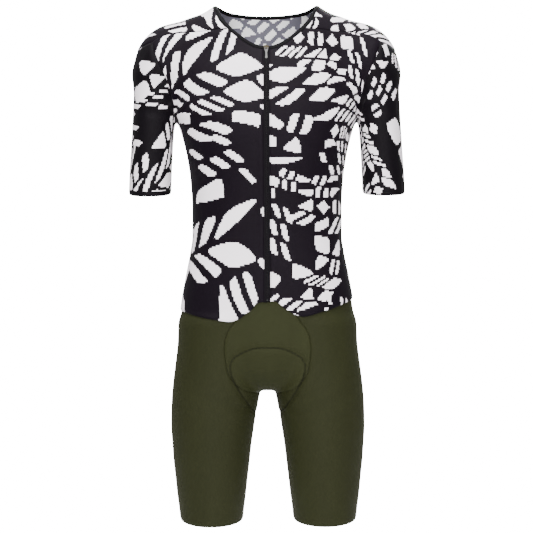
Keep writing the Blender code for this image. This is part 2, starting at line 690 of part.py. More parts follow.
def neck_binding(left, right, material):
    """The binding over the neck's raw edge, from one side of the zip round to the other."""
    halves = [np.vstack([edges["neck front"], edges["neck side"][1:],
                         edges["neck back"][::-1][1:]]) for edges in (left, right)]
    path = np.vstack([halves[0], halves[1][::-1][1:]])
    ahead = np.gradient(path, axis=0)
    ahead /= np.linalg.norm(ahead, axis=1)[:, None]
    path[0] += ahead[0] * SEAM_GAP / 2
    path[-1] -= ahead[-1] * SEAM_GAP / 2
    to_neck = np.cross(outward(path), ahead)
    rings = []
    for across, out in BINDING:
        at = path + to_neck * (across + SEAM_GAP / 2)
        at[[0, -1], 0] = path[[0, -1], 0]
        at = settled(at)
        rings.append(at + outward(at) * (TOP_INSIDE + out))
    rings = np.array(rings)
    sides, count = rings.shape[:2]
    faces = [(r * count + i, (r + 1) % sides * count + i, (r + 1) % sides * count + i + 1,
              r * count + i + 1) for r in range(sides) for i in range(count - 1)]
    faces += [tuple(r * count for r in range(sides))[::-1],
              tuple(r * count + count - 1 for r in range(sides))]
    solid("neck_binding", rings.reshape(-1, 3), faces, material)


def zip_tape(name, edges, material):
    """One tape, between the cut edge of a front and the zip's middle line."""
    side = np.sign(edges["zip upper"][0, 0])
    top = settled([(side * ZIP_HALF, -70, ZIP_TOP)])
    outer = np.vstack([top, edges["zip upper"], edges["zip lower"][1:]])
    inner = outer * [0, 1, 1]
    inner[:2, 0] = side * (TAPES_PART - SEAM_GAP / 2)
    grid = np.stack([settled(inner), outer], axis=1)
    panel(name, [grid], TOP_INSIDE, TOP_OUTSIDE, material)


def slider_frame():
    """The slider's middle on the figure, and the directions across, down and out of it."""
    middle = seen([(0, SLIDER_HEIGHT)], -1)
    out = outward(middle)[0]
    across = np.array([1, 0, 0])
    return middle[0], np.array([across, np.cross(across, out), out])


def prism(name, outline, half, axis, material):
    """An outline in the slider's frame, made thick to both sides along one of its axes."""
    middle, frame = slider_frame()
    count = len(outline)
    points = []
    for end in (-1, 1):
        for first, second in outline:
            point = [first, second]
            point.insert(axis, end * half)
            points.append(point)
    faces = [(i, (i + 1) % count, (i + 1) % count + count, i + count) for i in range(count)]
    faces += [tuple(range(count))[::-1], tuple(range(count, 2 * count))]
    piece = solid(name, middle + np.array(points) @ frame, faces, material)
    shape = bmesh.new()
    shape.from_mesh(piece.data)
    bmesh.ops.recalc_face_normals(shape, faces=shape.faces)
    shape.to_mesh(piece.data)
    shape.free()
    return piece


def slider_plate(name, low, high, material):
    """One of the slider's two plates, wider at its top where the tapes part."""
    half = SLIDER_LENGTH / 2
    top, foot = SLIDER_WIDE / 2, SLIDER_NARROW / 2
    cut = SLIDER_CORNER
    outline = [(cut - top, -half), (top - cut, -half), (top, cut - half), (foot, half - cut),
               (foot - cut, half), (cut - foot, half), (-foot, half - cut), (-top, cut - half)]
    middle, frame = slider_frame()
    plate = prism(name, outline, (high - low) / 2, 2, material)
    for vertex in plate.data.vertices:
        vertex.co = np.array(vertex.co) + frame[2] * (low + high) / 2 * MM
    return plate


def zip_slider(material):
    """Two plates on a post between the tapes, with the arch that the pull hangs from."""
    body = slider_plate("zip_slider", *SLIDER_FACE, material)
    back_plate = slider_plate("slider back", *SLIDER_BACK, material)
    low, high = SLIDER_BACK[1] - MERGE, SLIDER_FACE[0] + MERGE
    top, foot = SLIDER_POST
    post = prism("slider post", [(top, low), (foot, low), (foot, high), (top, high)],
                 TAPES_PART - 0.5, 0, material)
    near, far = CROWN_FOOT
    floor = SLIDER_FACE[1] - MERGE
    under = SLIDER_FACE[1] + CROWN_ROOM
    over = under + CROWN_THICK
    arch = [(-far, floor), (-near, floor), (-near, under), (near, under), (near, floor),
            (far, floor), (far, under), (near, over), (-near, over), (-far, under)]
    crown = prism("slider crown", arch, CROWN_HALF, 0, material)
    for part in (post, back_plate, crown):
        part.hide_render = True
        part.display_type = "WIRE"
        union = body.modifiers.new(part.name, "BOOLEAN")
        union.operation = "UNION"
        union.object = part
    return body


def zip_pull(material):
    """The pull: a ring round the slider's arch that runs down into a narrow tab."""
    middle, frame = slider_frame()
    bar_out = SLIDER_FACE[1] + CROWN_ROOM / 2
    axle = middle + np.array([0, PULL_AXLE, bar_out]) @ frame
    down = PULL.places
    half, lean = PULL.at(down)
    hole = np.minimum(half - PULL_EDGE, PULL_HOLE_HALF)
    points = []
    for i, place in enumerate(down):
        for across in (-half[i], -hole[i], hole[i], half[i]):
            points.append((across, place, -lean[i]))
    points = np.array(points)
    faces = [face[::-1] for face in grid_faces(len(down), 4)]
    faces.pop(3 * PULL_HOLE_ROW + 1)
    points, faces = walled(points, faces, points - [0, 0, PULL_THICK / 2],
                           points + [0, 0, PULL_THICK / 2])
    solid("zip_pull", axle + points @ frame, faces, material, axle)


def finish(name, colour, roughness, metallic=0):
    """A plain material for the solids."""
    material = bpy.data.materials.new(name)
    material.use_nodes = True
    shader = material.node_tree.nodes["Principled BSDF"]
    shader.inputs["Base Color"].default_value = (*colour, 1)
    shader.inputs["Roughness"].default_value = roughness
    shader.inputs["Metallic"].default_value = metallic
    return material


def main():
    for thing in list(bpy.data.objects):
        bpy.data.objects.remove(thing, do_unlink=True)
    left, right = top_edges(1), top_edges(-1)
    shorts = leg_edges()
    for name, side, edges in (("left", 1, left), ("right", -1, right)):
        printed = finish("printed knit " + name, (0.42, 0.41, 0.42), 0.8)
        front("front_" + name, edges, printed)
        sleeve("sleeve_" + name, edges, side, finish("sleeve knit " + name, (0.4, 0.39, 0.4), 0.8))
        zip_tape("zip_tape_" + name, edges, finish("zip tape " + name, (0.015, 0.014, 0.018), 0.7))
        leg("leg_" + name, shorts, side, finish("olive knit " + name, (0.045, 0.05, 0.02), 0.75))
    back("back", [left, right], finish("printed knit behind", (0.42, 0.41, 0.42), 0.8))
    neck_binding(left, right, finish("neck binding", (0.015, 0.013, 0.016), 0.7))
    shorts_front("shorts_front", shorts, finish("olive front panel", (0.048, 0.052, 0.022), 0.75))
    seat_pad("pad", shorts, finish("pad fabric", (0.05, 0.05, 0.05), 0.9))
    zip_slider(finish("slider metal", (0.5, 0.46, 0.4), 0.35, 1))
    zip_pull(finish("pull metal", (0.6, 0.59, 0.6), 0.35, 1))


main()
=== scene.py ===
"""How the cycling aerosuit looks: cloth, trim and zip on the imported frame.

The figure and the seams repeat the part's own tables, in millimetres, with a finer grid.
The wearer faces -Y, and "right" is the wearer's right, -X.
"""

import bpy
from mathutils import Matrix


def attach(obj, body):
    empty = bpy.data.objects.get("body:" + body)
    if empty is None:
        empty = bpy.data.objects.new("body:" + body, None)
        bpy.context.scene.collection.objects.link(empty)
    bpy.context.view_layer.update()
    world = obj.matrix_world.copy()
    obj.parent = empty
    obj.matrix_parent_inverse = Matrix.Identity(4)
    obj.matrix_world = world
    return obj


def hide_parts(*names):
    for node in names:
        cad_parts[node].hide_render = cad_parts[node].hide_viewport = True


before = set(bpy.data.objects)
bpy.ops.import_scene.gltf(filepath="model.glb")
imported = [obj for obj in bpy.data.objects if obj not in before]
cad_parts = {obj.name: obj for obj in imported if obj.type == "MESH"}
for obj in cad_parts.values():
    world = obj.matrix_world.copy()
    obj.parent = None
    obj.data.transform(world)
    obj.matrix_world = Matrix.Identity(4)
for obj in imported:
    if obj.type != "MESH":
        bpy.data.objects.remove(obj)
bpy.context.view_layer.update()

from math import cos, pi, radians, sin

import bpy
import bmesh
import numpy as np
from mathutils.kdtree import KDTree

MM = 0.001
TINY = 1e-9

LAYER_GAP = 1.8
TOP_OUTSIDE = LAYER_GAP / 2 + 1.4
SHORTS_OUTSIDE = -LAYER_GAP / 2
SHORTS_INSIDE = SHORTS_OUTSIDE - 1.4
CLOTH = 0.9                         # thickness of the cloth that shows
SEAM_GAP = 0.3
SEAM_DIP, SEAM_SPREAD = 1.0, 2.3    # how far the cloth sinks at a seam, and how wide

ZIP_HALF = 5.6
SHORTS_TOP = -496
HEM_TILT = 0.066
HIP_SEAM = -522
ARMPIT = (171, 0, -176)
CHEST = -176
HIP = (164, 0)
LEG_HEM = (-923, 9)
CUFF = (-316, 8)


# ---- The figure, as in the part --------------------------------------------------------

class Table:
    """Rows of numbers with named columns, read at any place in the first column."""

    def __init__(self, names, rows):
        rows = np.array(sorted(rows), float)
        self.names = names.split()
        self.places, self.values = rows[:, 0], rows[:, 1:]
        self.steps = np.diff(self.places)[:, None]
        slopes = np.diff(self.values, axis=0) / self.steps
        same_way = slopes[:-1] * slopes[1:] > 0
        together = np.where(same_way, slopes[:-1] + slopes[1:], 1)
        inner = np.where(same_way, 2 * slopes[:-1] * slopes[1:] / together, 0)
        self.slopes = np.vstack([slopes[:1], inner, slopes[-1:]])

    def at(self, place):
        place = np.clip(place, self.places[0], self.places[-1])
        i = np.clip(np.searchsorted(self.places, place) - 1, 0, len(self.steps) - 1)
        step = self.steps[i]
        t = (place - self.places[i])[..., None] / step
        rest = 1 - t
        columns = ((1 + 2 * t) * rest * rest * self.values[i]
                   + t * t * (3 - 2 * t) * self.values[i + 1]
                   + step * t * rest * (rest * self.slopes[i] - t * self.slopes[i + 1]))
        return np.moveaxis(columns, -1, 0)


TRUNK = Table("z middle half front back square", [
    (45, 0, 82, 42, 60, 2.0), (26, 0, 90, 46, 67, 2.0), (0, 0, 99, 54, 79, 2.0),
    (-27, 0, 123, 61, 89, 2.0), (-57, 0, 144, 72, 98, 2.1), (-100, 0, 160, 90, 108, 2.2),
    (-150, 0, 168, 105, 112, 2.25), (-174, 0, 168, 110, 111, 2.3),
    (-188, 0, 162, 112, 110, 2.3), (-217, 0, 153.5, 113, 106, 2.3),
    (-247, 0, 146.5, 111, 101, 2.3), (-292, 0, 140, 106, 93, 2.25),
    (-345, 0, 137, 101, 85, 2.2), (-396, 0, 137, 98, 83, 2.2), (-426, 0, 141, 97, 86, 2.2),
    (-471, 0, 150, 98, 95, 2.2), (-516, 0, 158, 99, 106, 2.2), (-560, 0, 163, 99, 115, 2.2),
    (-600, 0, 158, 97, 117, 2.2), (-640, 0, 135, 84, 101, 2.1), (-665, 0, 105, 64, 78, 2.0),
    (-690, 0, 62, 34, 44, 2.0),
])
ARM = Table("z middle half front back square", [
    (-50, 202, 38, 50, 52, 2.0), (-97, 206.5, 38.5, 49, 52, 2.0),
    (-142, 208.5, 37.5, 48, 50, 2.0), (-187, 211.2, 37, 47, 48, 2.0),
    (-232, 214.2, 36.7, 46, 47, 2.0), (-292, 217.5, 37.2, 45, 46, 2.0),
    (-340, 219, 37.3, 44, 45, 2.0),
])
LEG = Table("z middle half front back square", [
    (-540, 80, 84, 90, 100, 2.1), (-600, 85, 84, 90, 104, 2.1), (-640, 90, 84, 88, 100, 2.1),
    (-681, 95.8, 83, 86, 94, 2.1), (-711, 99.6, 81.2, 85, 90, 2.1),
    (-755, 103.3, 78, 82, 84, 2.05), (-785, 104.6, 74.8, 79, 80, 2.0),
    (-815, 105.3, 72, 75, 77, 2.0), (-845, 105.4, 68.6, 71, 73, 2.0),
    (-875, 105.6, 65.4, 67, 69, 2.0), (-905, 105.6, 61.6, 64, 65, 2.0),
    (-940, 105.2, 58, 61, 62, 2.0),
])
RIDGE = Table("x top half depth", [
    (30, 27, 42, 52), (92, 22.5, 42, 56), (130, 13.5, 43, 53), (163, 1.8, 44, 50),
    (190, -10, 44, 46), (230, -36, 42, 40),
])
RIDGE_BACK = 6
RIDGE_END = 205
SHOULDER_BALL = {"middle": np.array([187, 2, -73]), "half": np.array([56, 53, 59])}
ARM_TOP = -85
ARM_END = -380
LEG_TOP = -545
TRUNK_END = -683
SOFTNESS = Table("z rounding", [(-160, 19), (-90, 38)])
ROUNDING = {
    "ridge end": 20, "ball and arm": 26, "ball and ridge": 30, "limb ends": 20, "trunk end": 12,
    "between legs": 14, "hips": 12,
}
RAY_REACH, RAY_STEPS, RAY_HALVINGS = 220.0, 111, 14
SETTLE_TRIES, SETTLE_CLOSE, SETTLE_STEP = 8, 2e-3, 20    # moving points onto the figure
CURVE_STEPS = 24
SLEEVE_CORE = 30
SLEEVE_EASE = 0.9
SLEEVE_ROUND = 290      # across the sleeve's print, all round

NECK_FRONT = [(ZIP_HALF, -57), (21, -53.5), (31.5, -48), (44, -39.5), (59.5, -27), (71, -16)]
NECK_SIDE = [(71, -16), (79, -8), (86, 2), (90.5, 14)]
NECK_TOP = (93, 6, 25)
NECK_BACK = [(0, 19), (30, 19.5), (55, 21.5), (76, 24)]
SHOULDER_SEAM = [(71, -16), (120, -21), (175, -25), (210, -40)]
ARMHOLE_FRONT = [(210, -40), (199, -74), (188, -99), (179.5, -122), (173, -147)]
ARMHOLE_TOP = [(226, -28, -44), (238, 0, -56)]
ARMHOLE_BACK = [(226, -62), (208, -88), (191, -118), (178, -147)]
RIDGE_LINE = [(130, 6, 16), (163, 5, 5), (195, 4, -6), (222, 2, -26)]
CHEST_LINE = [80, 135, 158]
MIDDLE_LINE = [-300, -400]
SIDE_SEAM = [(140, 2, -340), (140, 2, -400)]
BACK_HEM = [60, 120]
TOP_HEM = [(ZIP_HALF, -518), (17, -519), (29, -530), (40, -538), (52, -545.5), (64, -549),
           (76, -548.5), (94, -544.5), (118, -539), (142, -531)]
FRONT_PANEL = [(45, SHORTS_TOP), (49, -530), (60, -555), (70, -568), (76.5, -585),
               (78.7, -604), (77, -622), (70, -651), (57.5, -668), (42.5, -679.5), (26, -685)]
SHORTS_MIDDLE = [(0, SHORTS_TOP), (0, -560), (0, -620)]
FRONT_LOW = (0, -660)
CROTCH = (16, 0, -686)
CROTCH_MIDDLE = (0, 0, -684)
CROTCH_BEHIND = (10, 32, -682)
CROTCH_TIP = (0, -668)
CROTCH_DIP = 40
SEAM_PULL = 8
CROTCH_EASE = 1.15

# The part's large folds: from and to (across, height), facing, width, rise.
FOLDS = [
    (213, -58, 186, -118, -1, 9, 2.6),
    (198, -50, 176, -96, -1, 8, 1.6),
    (176, -168, 207, -140, -1, 8, 2.2),
    (160, -172, 122, -150, -1, 10, 1.8),
    (208, -92, 188, -132, 1, 9, 2.2),
    (160, -172, 118, -140, 1, 11, 2.4),
    (40, -392, 112, -404, 1, 12, 2.0),
    (60, -676, 130, -664, 1, 9, 2.0),
]

# Smaller creases: the side (1 the wearer's left, -1 right), facing, width, rise, and the
# line across and down.
CREASES = [
    (1, -1, 2.6, 0.7, [(12, -62), (12.4, -200), (12, -350), (12.4, -512)]),
    (-1, -1, 2.6, 0.7, [(12, -62), (12.6, -200), (12.2, -350), (12, -512)]),
    (1, -1, 5, -1.5, [(206, -48), (199, -74), (188, -99), (179.5, -122), (172, -152)]),
    (-1, -1, 5, -1.7, [(206, -48), (199, -74), (188, -99), (179.5, -122), (172, -152)]),
    (1, 1, 5, -1.3, [(216, -66), (205, -90), (190, -118), (176, -150)]),
    (-1, 1, 5, -1.4, [(216, -66), (205, -90), (190, -118), (176, -150)]),
    (1, -1, 3.2, 1.5, [(166, -172), (158, -150), (152, -124), (150, -104)]),
    (-1, -1, 3.2, 1.4, [(166, -174), (156, -152), (150, -130), (149, -108)]),
    (1, -1, 3, -1.3, [(164, -180), (150, -164), (138, -142)]),
    (-1, -1, 3, -1.4, [(163, -180), (148, -166), (134, -150)]),
    (1, -1, 3.2, 1.3, [(180, -166), (188, -144), (193, -118)]),
    (-1, -1, 3.2, 1.4, [(180, -168), (189, -142), (195, -114)]),
    (1, -1, 4, 1.5, [(204, -62), (194, -84), (184, -108), (178, -130)]),
    (-1, -1, 4, 1.6, [(205, -60), (194, -86), (185, -106), (178, -134)]),
    (1, -1, 4, -1.4, [(186, -78), (176, -104), (168, -132)]),
    (-1, -1, 4, -1.4, [(188, -74), (177, -102), (168, -128)]),
    (1, -1, 5, 1.8, [(182, -164), (200, -152), (222, -146)]),
    (-1, -1, 5, 1.9, [(183, -166), (202, -156), (226, -152)]),
    (1, -1, 5, -1.5, [(186, -176), (202, -170), (222, -170)]),
    (-1, -1, 5, -1.5, [(186, -178), (204, -171), (224, -173)]),
    (1, -1, 6, 1.4, [(160, -182), (140, -186), (112, -180)]),
    (-1, -1, 6, 1.6, [(160, -184), (138, -192), (108, -188)]),
    (-1, -1, 7, 1.2, [(148, -214), (128, -222), (104, -220)]),
    (1, -1, 7, 1.1, [(146, -210), (128, -216), (110, -212)]),
    (1, 1, 6, 1.3, [(166, -176), (136, -160), (96, -152)]),
    (-1, 1, 6, 1.2, [(166, -178), (134, -164), (98, -158)]),
    (1, 1, 6, -1.0, [(164, -186), (138, -178), (108, -176)]),
    (-1, 1, 6, -1.0, [(164, -188), (136, -180), (104, -180)]),
    (1, 1, 5, 1.2, [(186, -160), (204, -150), (224, -148)]),
    (-1, 1, 5, 1.2, [(186, -162), (206, -154), (226, -150)]),
    (1, 1, 9, 1.2, [(0, -372), (46, -378), (92, -372), (128, -362)]),
    (-1, 1, 9, 1.1, [(0, -372), (44, -382), (90, -380), (128, -372)]),
    (1, 1, 8, -1.0, [(10, -410), (56, -416), (104, -420)]),
    (-1, 1, 8, -1.0, [(10, -412), (60, -420), (108, -426)]),
    (1, 1, 8, 0.9, [(30, -340), (74, -344), (112, -336)]),
    (-1, 1, 8, 0.8, [(26, -346), (72, -352), (112, -346)]),
    (1, 1, 8, 1.0, [(44, -702), (84, -694), (128, -690)]),
    (-1, 1, 8, 1.0, [(42, -704), (86, -698), (130, -692)]),
    (1, 1, 7, -0.9, [(50, -716), (92, -712), (132, -706)]),
    (-1, 1, 7, -0.9, [(48, -720), (90, -716), (130, -712)]),
    (1, 1, 8, 0.7, [(70, -842), (106, -850), (142, -846)]),
    (-1, 1, 8, 0.7, [(72, -838), (108, -846), (140, -844)]),
    (-1, -1, 5, 1.0, [(30, -702), (46, -704), (62, -698)]),
    (-1, -1, 5, -0.8, [(28, -712), (46, -716), (64, -712)]),
    (1, -1, 5, 0.8, [(32, -700), (48, -704), (64, -702)]),
    (-1, -1, 6, 0.7, [(34, -724), (54, -732), (74, -728)]),
    (1, -1, 6, 0.6, [(36, -722), (56, -726), (76, -720)]),
]
CREASE_WAVES = ((0.045, 0.7), (0.11, 2.1))

PAD = Table("along half", [
    (0, 20), (4, 34), (12, 50), (24, 65), (40, 71), (60, 68), (85, 60), (112, 53),
    (140, 54), (165, 64), (190, 78), (215, 84), (240, 78), (258, 58), (266, 36),
])
PAD_FRONT = -599
PAD_BEHIND = [-648, -630, -610, -580]
PAD_STEPS = 400
PAD_EDGE = 2.2
PAD_RISE = 4.6
PAD_GAP = 1.9
PAD_STRIDES = 2
MIDDLE_CHANNEL = {"width": 4.5, "depth": 2.6}
SIDE_CHANNELS = {"away": 30, "splay": 8, "width": 3.2, "depth": 1.5}

ZIP_TOP = -51.5
SLIDER_HEIGHT = -55
SLIDER_FACE = (TOP_OUTSIDE + 0.3, TOP_OUTSIDE + 1.7)
SLIDER_REVERSE = (-0.7, 0.6)
PULL = Table("down half lean", [
    (-0.55, 2.9, 0), (0.55, 3.6, 0), (3.6, 3.6, 0), (4.9, 3.3, 0.1), (7.5, 2.3, 0.5),
    (10.5, 1.85, 0.9), (14, 1.85, 1.2), (17, 2.1, 1.4), (19.5, 2.3, 1.5), (21, 1.5, 1.5),
])

CELLS = {
    "neck front": 26, "shoulder": 46, "neck side": 16, "neck back": 30, "armhole front": 44,
    "armhole top": 16, "armhole back": 46, "side": 110, "sleeve": 60, "seat": 84, "tip": 20,
    "inside leg": 76, "leg round": 140, "front panel": 52, "pad across": 56, "pad along": 110,
}


def unit(vectors):
    """The vectors at length one."""
    return vectors / np.maximum(np.linalg.norm(vectors, axis=-1), TINY)[..., None]


def distances(points):
    """How far along a line its points lie."""
    return np.concatenate([[0], np.cumsum(np.linalg.norm(np.diff(points, axis=0), axis=1))])


def spread(wanted, at, points):
    """The places at the wanted distances along a line."""
    return np.stack([np.interp(wanted, at, points[:, k]) for k in range(3)], axis=1)


def evened_straight(points, count):
    """Places the same distance apart along straight pieces of line."""
    at = distances(points)
    return spread(np.linspace(0, at[-1], count), at, points)


def evened(points, cells, ease=1):
    """A smooth curve through the points, as cells + 1 points."""
    points = np.array(points, float)
    at = distances(points)
    chords = np.linalg.norm(np.diff(points, axis=0), axis=1)
    inner = (points[2:] - points[:-2]) / (at[2:] - at[:-2])[:, None]
    first = 2 * (points[1] - points[0]) / chords[0]
    last = 2 * (points[-1] - points[-2]) / chords[-1]
    if len(points) == 2:
        tangents = np.array([first, last]) / 2
    else:
        tangents = np.vstack([first - inner[0], inner, last - inner[-1]])
    fine = []
    for i, chord in enumerate(chords):
        t = np.linspace(0, 1, CURVE_STEPS, endpoint=False)[:, None]
        fine.append((1 + 2 * t) * (1 - t) ** 2 * points[i]
                    + t * t * (3 - 2 * t) * points[i + 1]
                    + chord * t * (1 - t) * ((1 - t) * tangents[i] - t * tangents[i + 1]))
    fine = np.vstack(fine + [points[-1:]])
    length = distances(fine)
    wanted = length[-1] * (1 - np.linspace(1, 0, cells + 1) ** ease)
    return spread(wanted, length, fine)


def patch(bottom, top, start, end):
    """The grid between four edges."""
    u = np.linspace(0, 1, len(bottom))[None, :, None]
    v = np.linspace(0, 1, len(start))[:, None, None]
    corners = ((1 - v) * ((1 - u) * bottom[0] + u * bottom[-1])
               + v * ((1 - u) * top[0] + u * top[-1]))
    return ((1 - v) * bottom[None] + v * top[None] + (1 - u) * start[:, None]
            + u * end[:, None] - corners)


def united(a, b, rounding):
    near = np.maximum(rounding - np.abs(a - b), 0) / rounding
    return np.minimum(a, b) - near * near * rounding / 4


def shared(a, b, rounding):
    return -united(-a, -b, rounding)


def radial(across, along, half, depth, square):
    reach = np.hypot(across, along)
    size = ((np.abs(across) / half) ** square
            + (np.abs(along) / depth) ** square) ** (1 / square)
    return reach - reach / np.maximum(size, TINY) - TINY


def sections(points, rows):
    x, y, z = points.T
    middle, half, front, back, square = rows.at(z)
    return radial(x - middle, y, half, np.where(y < 0, front, back), square)


def figure(points):
    """How far points lie outside the figure: zero on it, negative inside."""
    other_side = points * [-1, 1, 1]
    one_side = np.where(points[:, :1] < 0, other_side, points)
    x, y, z = one_side.T
    top, half, depth = RIDGE.at(x)
    yoke = radial(z - top + half, y - RIDGE_BACK, half, depth, 2)
    yoke = shared(yoke, x - RIDGE_END, ROUNDING["ridge end"])
    offset = one_side - SHOULDER_BALL["middle"]
    reach = np.linalg.norm(offset, axis=1)
    size = np.linalg.norm(offset / SHOULDER_BALL["half"], axis=1)
    ball = reach - reach / np.maximum(size, TINY)
    ends = np.maximum(z - ARM_TOP, ARM_END - z)
    arm = shared(sections(one_side, ARM), ends, ROUNDING["limb ends"])
    shoulder = united(united(ball, arm, ROUNDING["ball and arm"]), yoke,
                      ROUNDING["ball and ridge"])
    trunk = shared(sections(one_side, TRUNK), TRUNK_END - z, ROUNDING["trunk end"])
    upper = united(trunk, shoulder, SOFTNESS.at(z)[0])
    legs = united(sections(points, LEG), sections(other_side, LEG), ROUNDING["between legs"])
    return united(upper, shared(legs, z - LEG_TOP, ROUNDING["limb ends"]), ROUNDING["hips"])


def steepest(points, step=0.25):
    shifts = np.eye(3) * step
    return np.stack([(figure(points + s) - figure(points - s)) / (2 * step)
                     for s in shifts], axis=1)


def outward(points):
    return unit(steepest(points))


def settled(points):
    """The points moved onto the figure."""
    shape = np.shape(points)
    points = np.array(points, float).reshape(-1, 3)
    for _ in range(SETTLE_TRIES):
        depth = figure(points)[:, None]
        if np.abs(depth).max() < SETTLE_CLOSE:
            break
        slope = steepest(points)
        move = depth * slope / (slope * slope).sum(axis=1)[:, None]
        size = np.linalg.norm(move, axis=1)[:, None]
        points = points - move * np.minimum(1, SETTLE_STEP / np.maximum(size, TINY))
    return points.reshape(shape)


def crossed(starts, directions, leaving):
    """Where rays first leave the figure, or first enter it."""
    starts, directions = np.broadcast_arrays(np.array(starts, float),
                                             np.array(directions, float))
    steps = np.linspace(0, RAY_REACH, RAY_STEPS)
    before = np.array([(figure(starts + directions * s) < 0) == leaving for s in steps])
    first = np.argmax(before[:-1] & ~before[1:], axis=0)
    low, high = steps[first], steps[first + 1]
    for _ in range(RAY_HALVINGS):
        half = (low + high) / 2
        still = (figure(starts + directions * half[:, None]) < 0) == leaving
        low, high = np.where(still, half, low), np.where(still, high, half)
    return starts + directions * low[:, None]


def seen(points, facing):
    """Points given across and in height, on the front (-1) or back (+1) of the figure."""
    points = np.array(points, float)
    level = np.full(len(points), facing * RAY_REACH)
    starts = np.stack([points[:, 0], level, points[:, 1]], axis=1)
    return crossed(starts, [[0, -facing, 0]], False)


def near_line(points, line):
    """How far points lie from a line of points, and how far along it the nearest place is."""
    best = np.full(len(points), 1e9)
    along = np.zeros(len(points))
    run_so_far = 0.0
    for start, end in zip(line, line[1:]):
        run = end - start
        length = np.linalg.norm(run)
        share = np.clip((points - start) @ run / length ** 2, 0, 1)
        away = np.linalg.norm(points - start - share[:, None] * run, axis=1)
        closer = away < best
        best = np.where(closer, away, best)
        along = np.where(closer, run_so_far + share * length, along)
        run_so_far += length
    return best, along, run_so_far


FOLD_ENDS = [(seen([(x, z), (end_x, end_z)], facing), width, rise)
             for x, z, end_x, end_z, facing, width, rise in FOLDS]
CREASE_LINES = [(settled(evened(seen(line, facing), 4 * len(line) - 4)) * [side, 1, 1], width,
                 rise) for side, facing, width, rise, line in CREASES]


def lift(points):
    """How far folds and creases raise the cloth at each point."""
    total = np.zeros(len(points))
    for ends, width, rise in FOLD_ENDS:
        for side in (1, -1):
            away, _, _ = near_line(points, ends * [side, 1, 1])
            total += rise * np.exp(-(away / width) ** 2) * (1 + 0.12 * side)
    for path, width, rise in CREASE_LINES:
        box = path.min(axis=0) - 4 * width, path.max(axis=0) + 4 * width
        close = np.all((points > box[0]) & (points < box[1]), axis=1)
        if not close.any():
            continue
        away, along, whole = near_line(points[close], path)
        uneven = 1 + sum(0.18 * np.sin(f * along + k * whole) for f, k in CREASE_WAVES)
        ends = np.clip(np.minimum(along, whole - along) / (0.3 * whole), 0, 1)
        fade = ends * ends * (3 - 2 * ends)
        total[close] += rise * uneven * fade * np.exp(-(away / width) ** 2)
    return total


# ---- Seams -----------------------------------------------------------------------------

def edge(points, cells, ease=1):
    return settled(evened(points, CELLS[cells] if isinstance(cells, str) else cells, ease))


def hem_height(x, side):
    return HIP_SEAM + HEM_TILT * side * x


def chest_line(middle, armpit, facing):
    level = seen([(x, middle[2]) for x in CHEST_LINE], facing)
    return np.vstack([[middle], level, armpit])


def top_edges(side):
    """The seams of the top's half on the wearer's left (side 1) or right (side -1)."""
    edges = {}

    def sew(name, cells, *lines):
        edges[name] = edge(np.vstack(lines), cells)

    armpit = settled([ARMPIT])
    crest = settled([NECK_TOP])
    neck = seen(NECK_FRONT, -1)
    over = settled(ARMHOLE_TOP)
    hip = settled([(*HIP, hem_height(HIP[0], side))])
    sew("neck front", "neck front", neck)
    sew("neck side", "neck side", seen(NECK_SIDE, -1), crest)
    sew("neck back", "neck back", seen(NECK_BACK, 1), crest)
    sew("shoulder", "shoulder", seen(SHOULDER_SEAM, -1))
    armhole = seen(ARMHOLE_FRONT, -1)
    sew("armhole front", "armhole front", armhole, armpit)
    sew("armhole top", "armhole top", armhole[:1], over)
    sew("armhole back", "armhole back", over[-1:], seen(ARMHOLE_BACK, 1), armpit)
    sew("ridge", "shoulder", crest, settled(RIDGE_LINE), over[-1:])
    sew("side", "side", armpit, SIDE_SEAM, hip)
    front_hem = [(x, z + HEM_TILT * side * x) for x, z in TOP_HEM]
    across = CELLS["neck front"] + CELLS["shoulder"]
    sew("hem front", across, seen(front_hem, -1), hip)
    zip_line = seen([(ZIP_HALF, z) for z in (CHEST, *MIDDLE_LINE)], -1)
    sew("zip upper", "armhole front", neck[:1], zip_line[:1])
    sew("zip lower", "side", zip_line, edges["hem front"][:1])
    sew("chest", across, chest_line(zip_line[0], armpit, -1))
    middle = seen([(0, z) for z in (CHEST, *MIDDLE_LINE, HIP_SEAM)], 1)
    behind = CELLS["neck back"] + CELLS["shoulder"]
    sew("back upper", "armhole back", edges["neck back"][:1], middle[:1])
    sew("back lower", "side", middle)
    sew("back line", behind, chest_line(middle[0], armpit, 1))
    back_hem = seen([(x, hem_height(x, side)) for x in BACK_HEM], 1)
    sew("hem back", behind, middle[-1:], back_hem, hip)
    return {name: points * [side, 1, 1] for name, points in edges.items()}


def leg_edges():
    """The seams of the shorts' half on the wearer's left."""
    crotch = settled([CROTCH])[0]
    front = seen(FRONT_PANEL, -1)
    tip = seen([CROTCH_TIP], 1)[0]
    behind = settled([CROTCH_BEHIND])[0]
    edges = {"front": edge(np.vstack([front, [crotch]]), "seat", CROTCH_EASE)}
    seat = edge(seen(SHORTS_MIDDLE + [CROTCH_TIP], 1), CELLS["seat"] - CELLS["tip"],
                CROTCH_EASE)
    edges["tip"] = edge([tip, behind, crotch], "tip")
    edges["back"] = np.vstack([seat, edges["tip"][1:]])
    centre = np.vstack([seen(SHORTS_MIDDLE + [FRONT_LOW], -1), settled([CROTCH_MIDDLE])])
    centre = edge(centre, "seat", CROTCH_EASE)
    under = edge([centre[-1], behind * [0, 1, 1], tip], "tip")
    edges["centre"] = np.vstack([centre, under[1:]])
    return edges


# ---- Meshes ----------------------------------------------------------------------------

def run_along(points, axis):
    """Distances along one direction of a grid, from its start."""
    steps = np.linalg.norm(np.diff(points, axis=axis), axis=2)
    return np.insert(np.cumsum(steps, axis=axis), 0, 0, axis=axis)


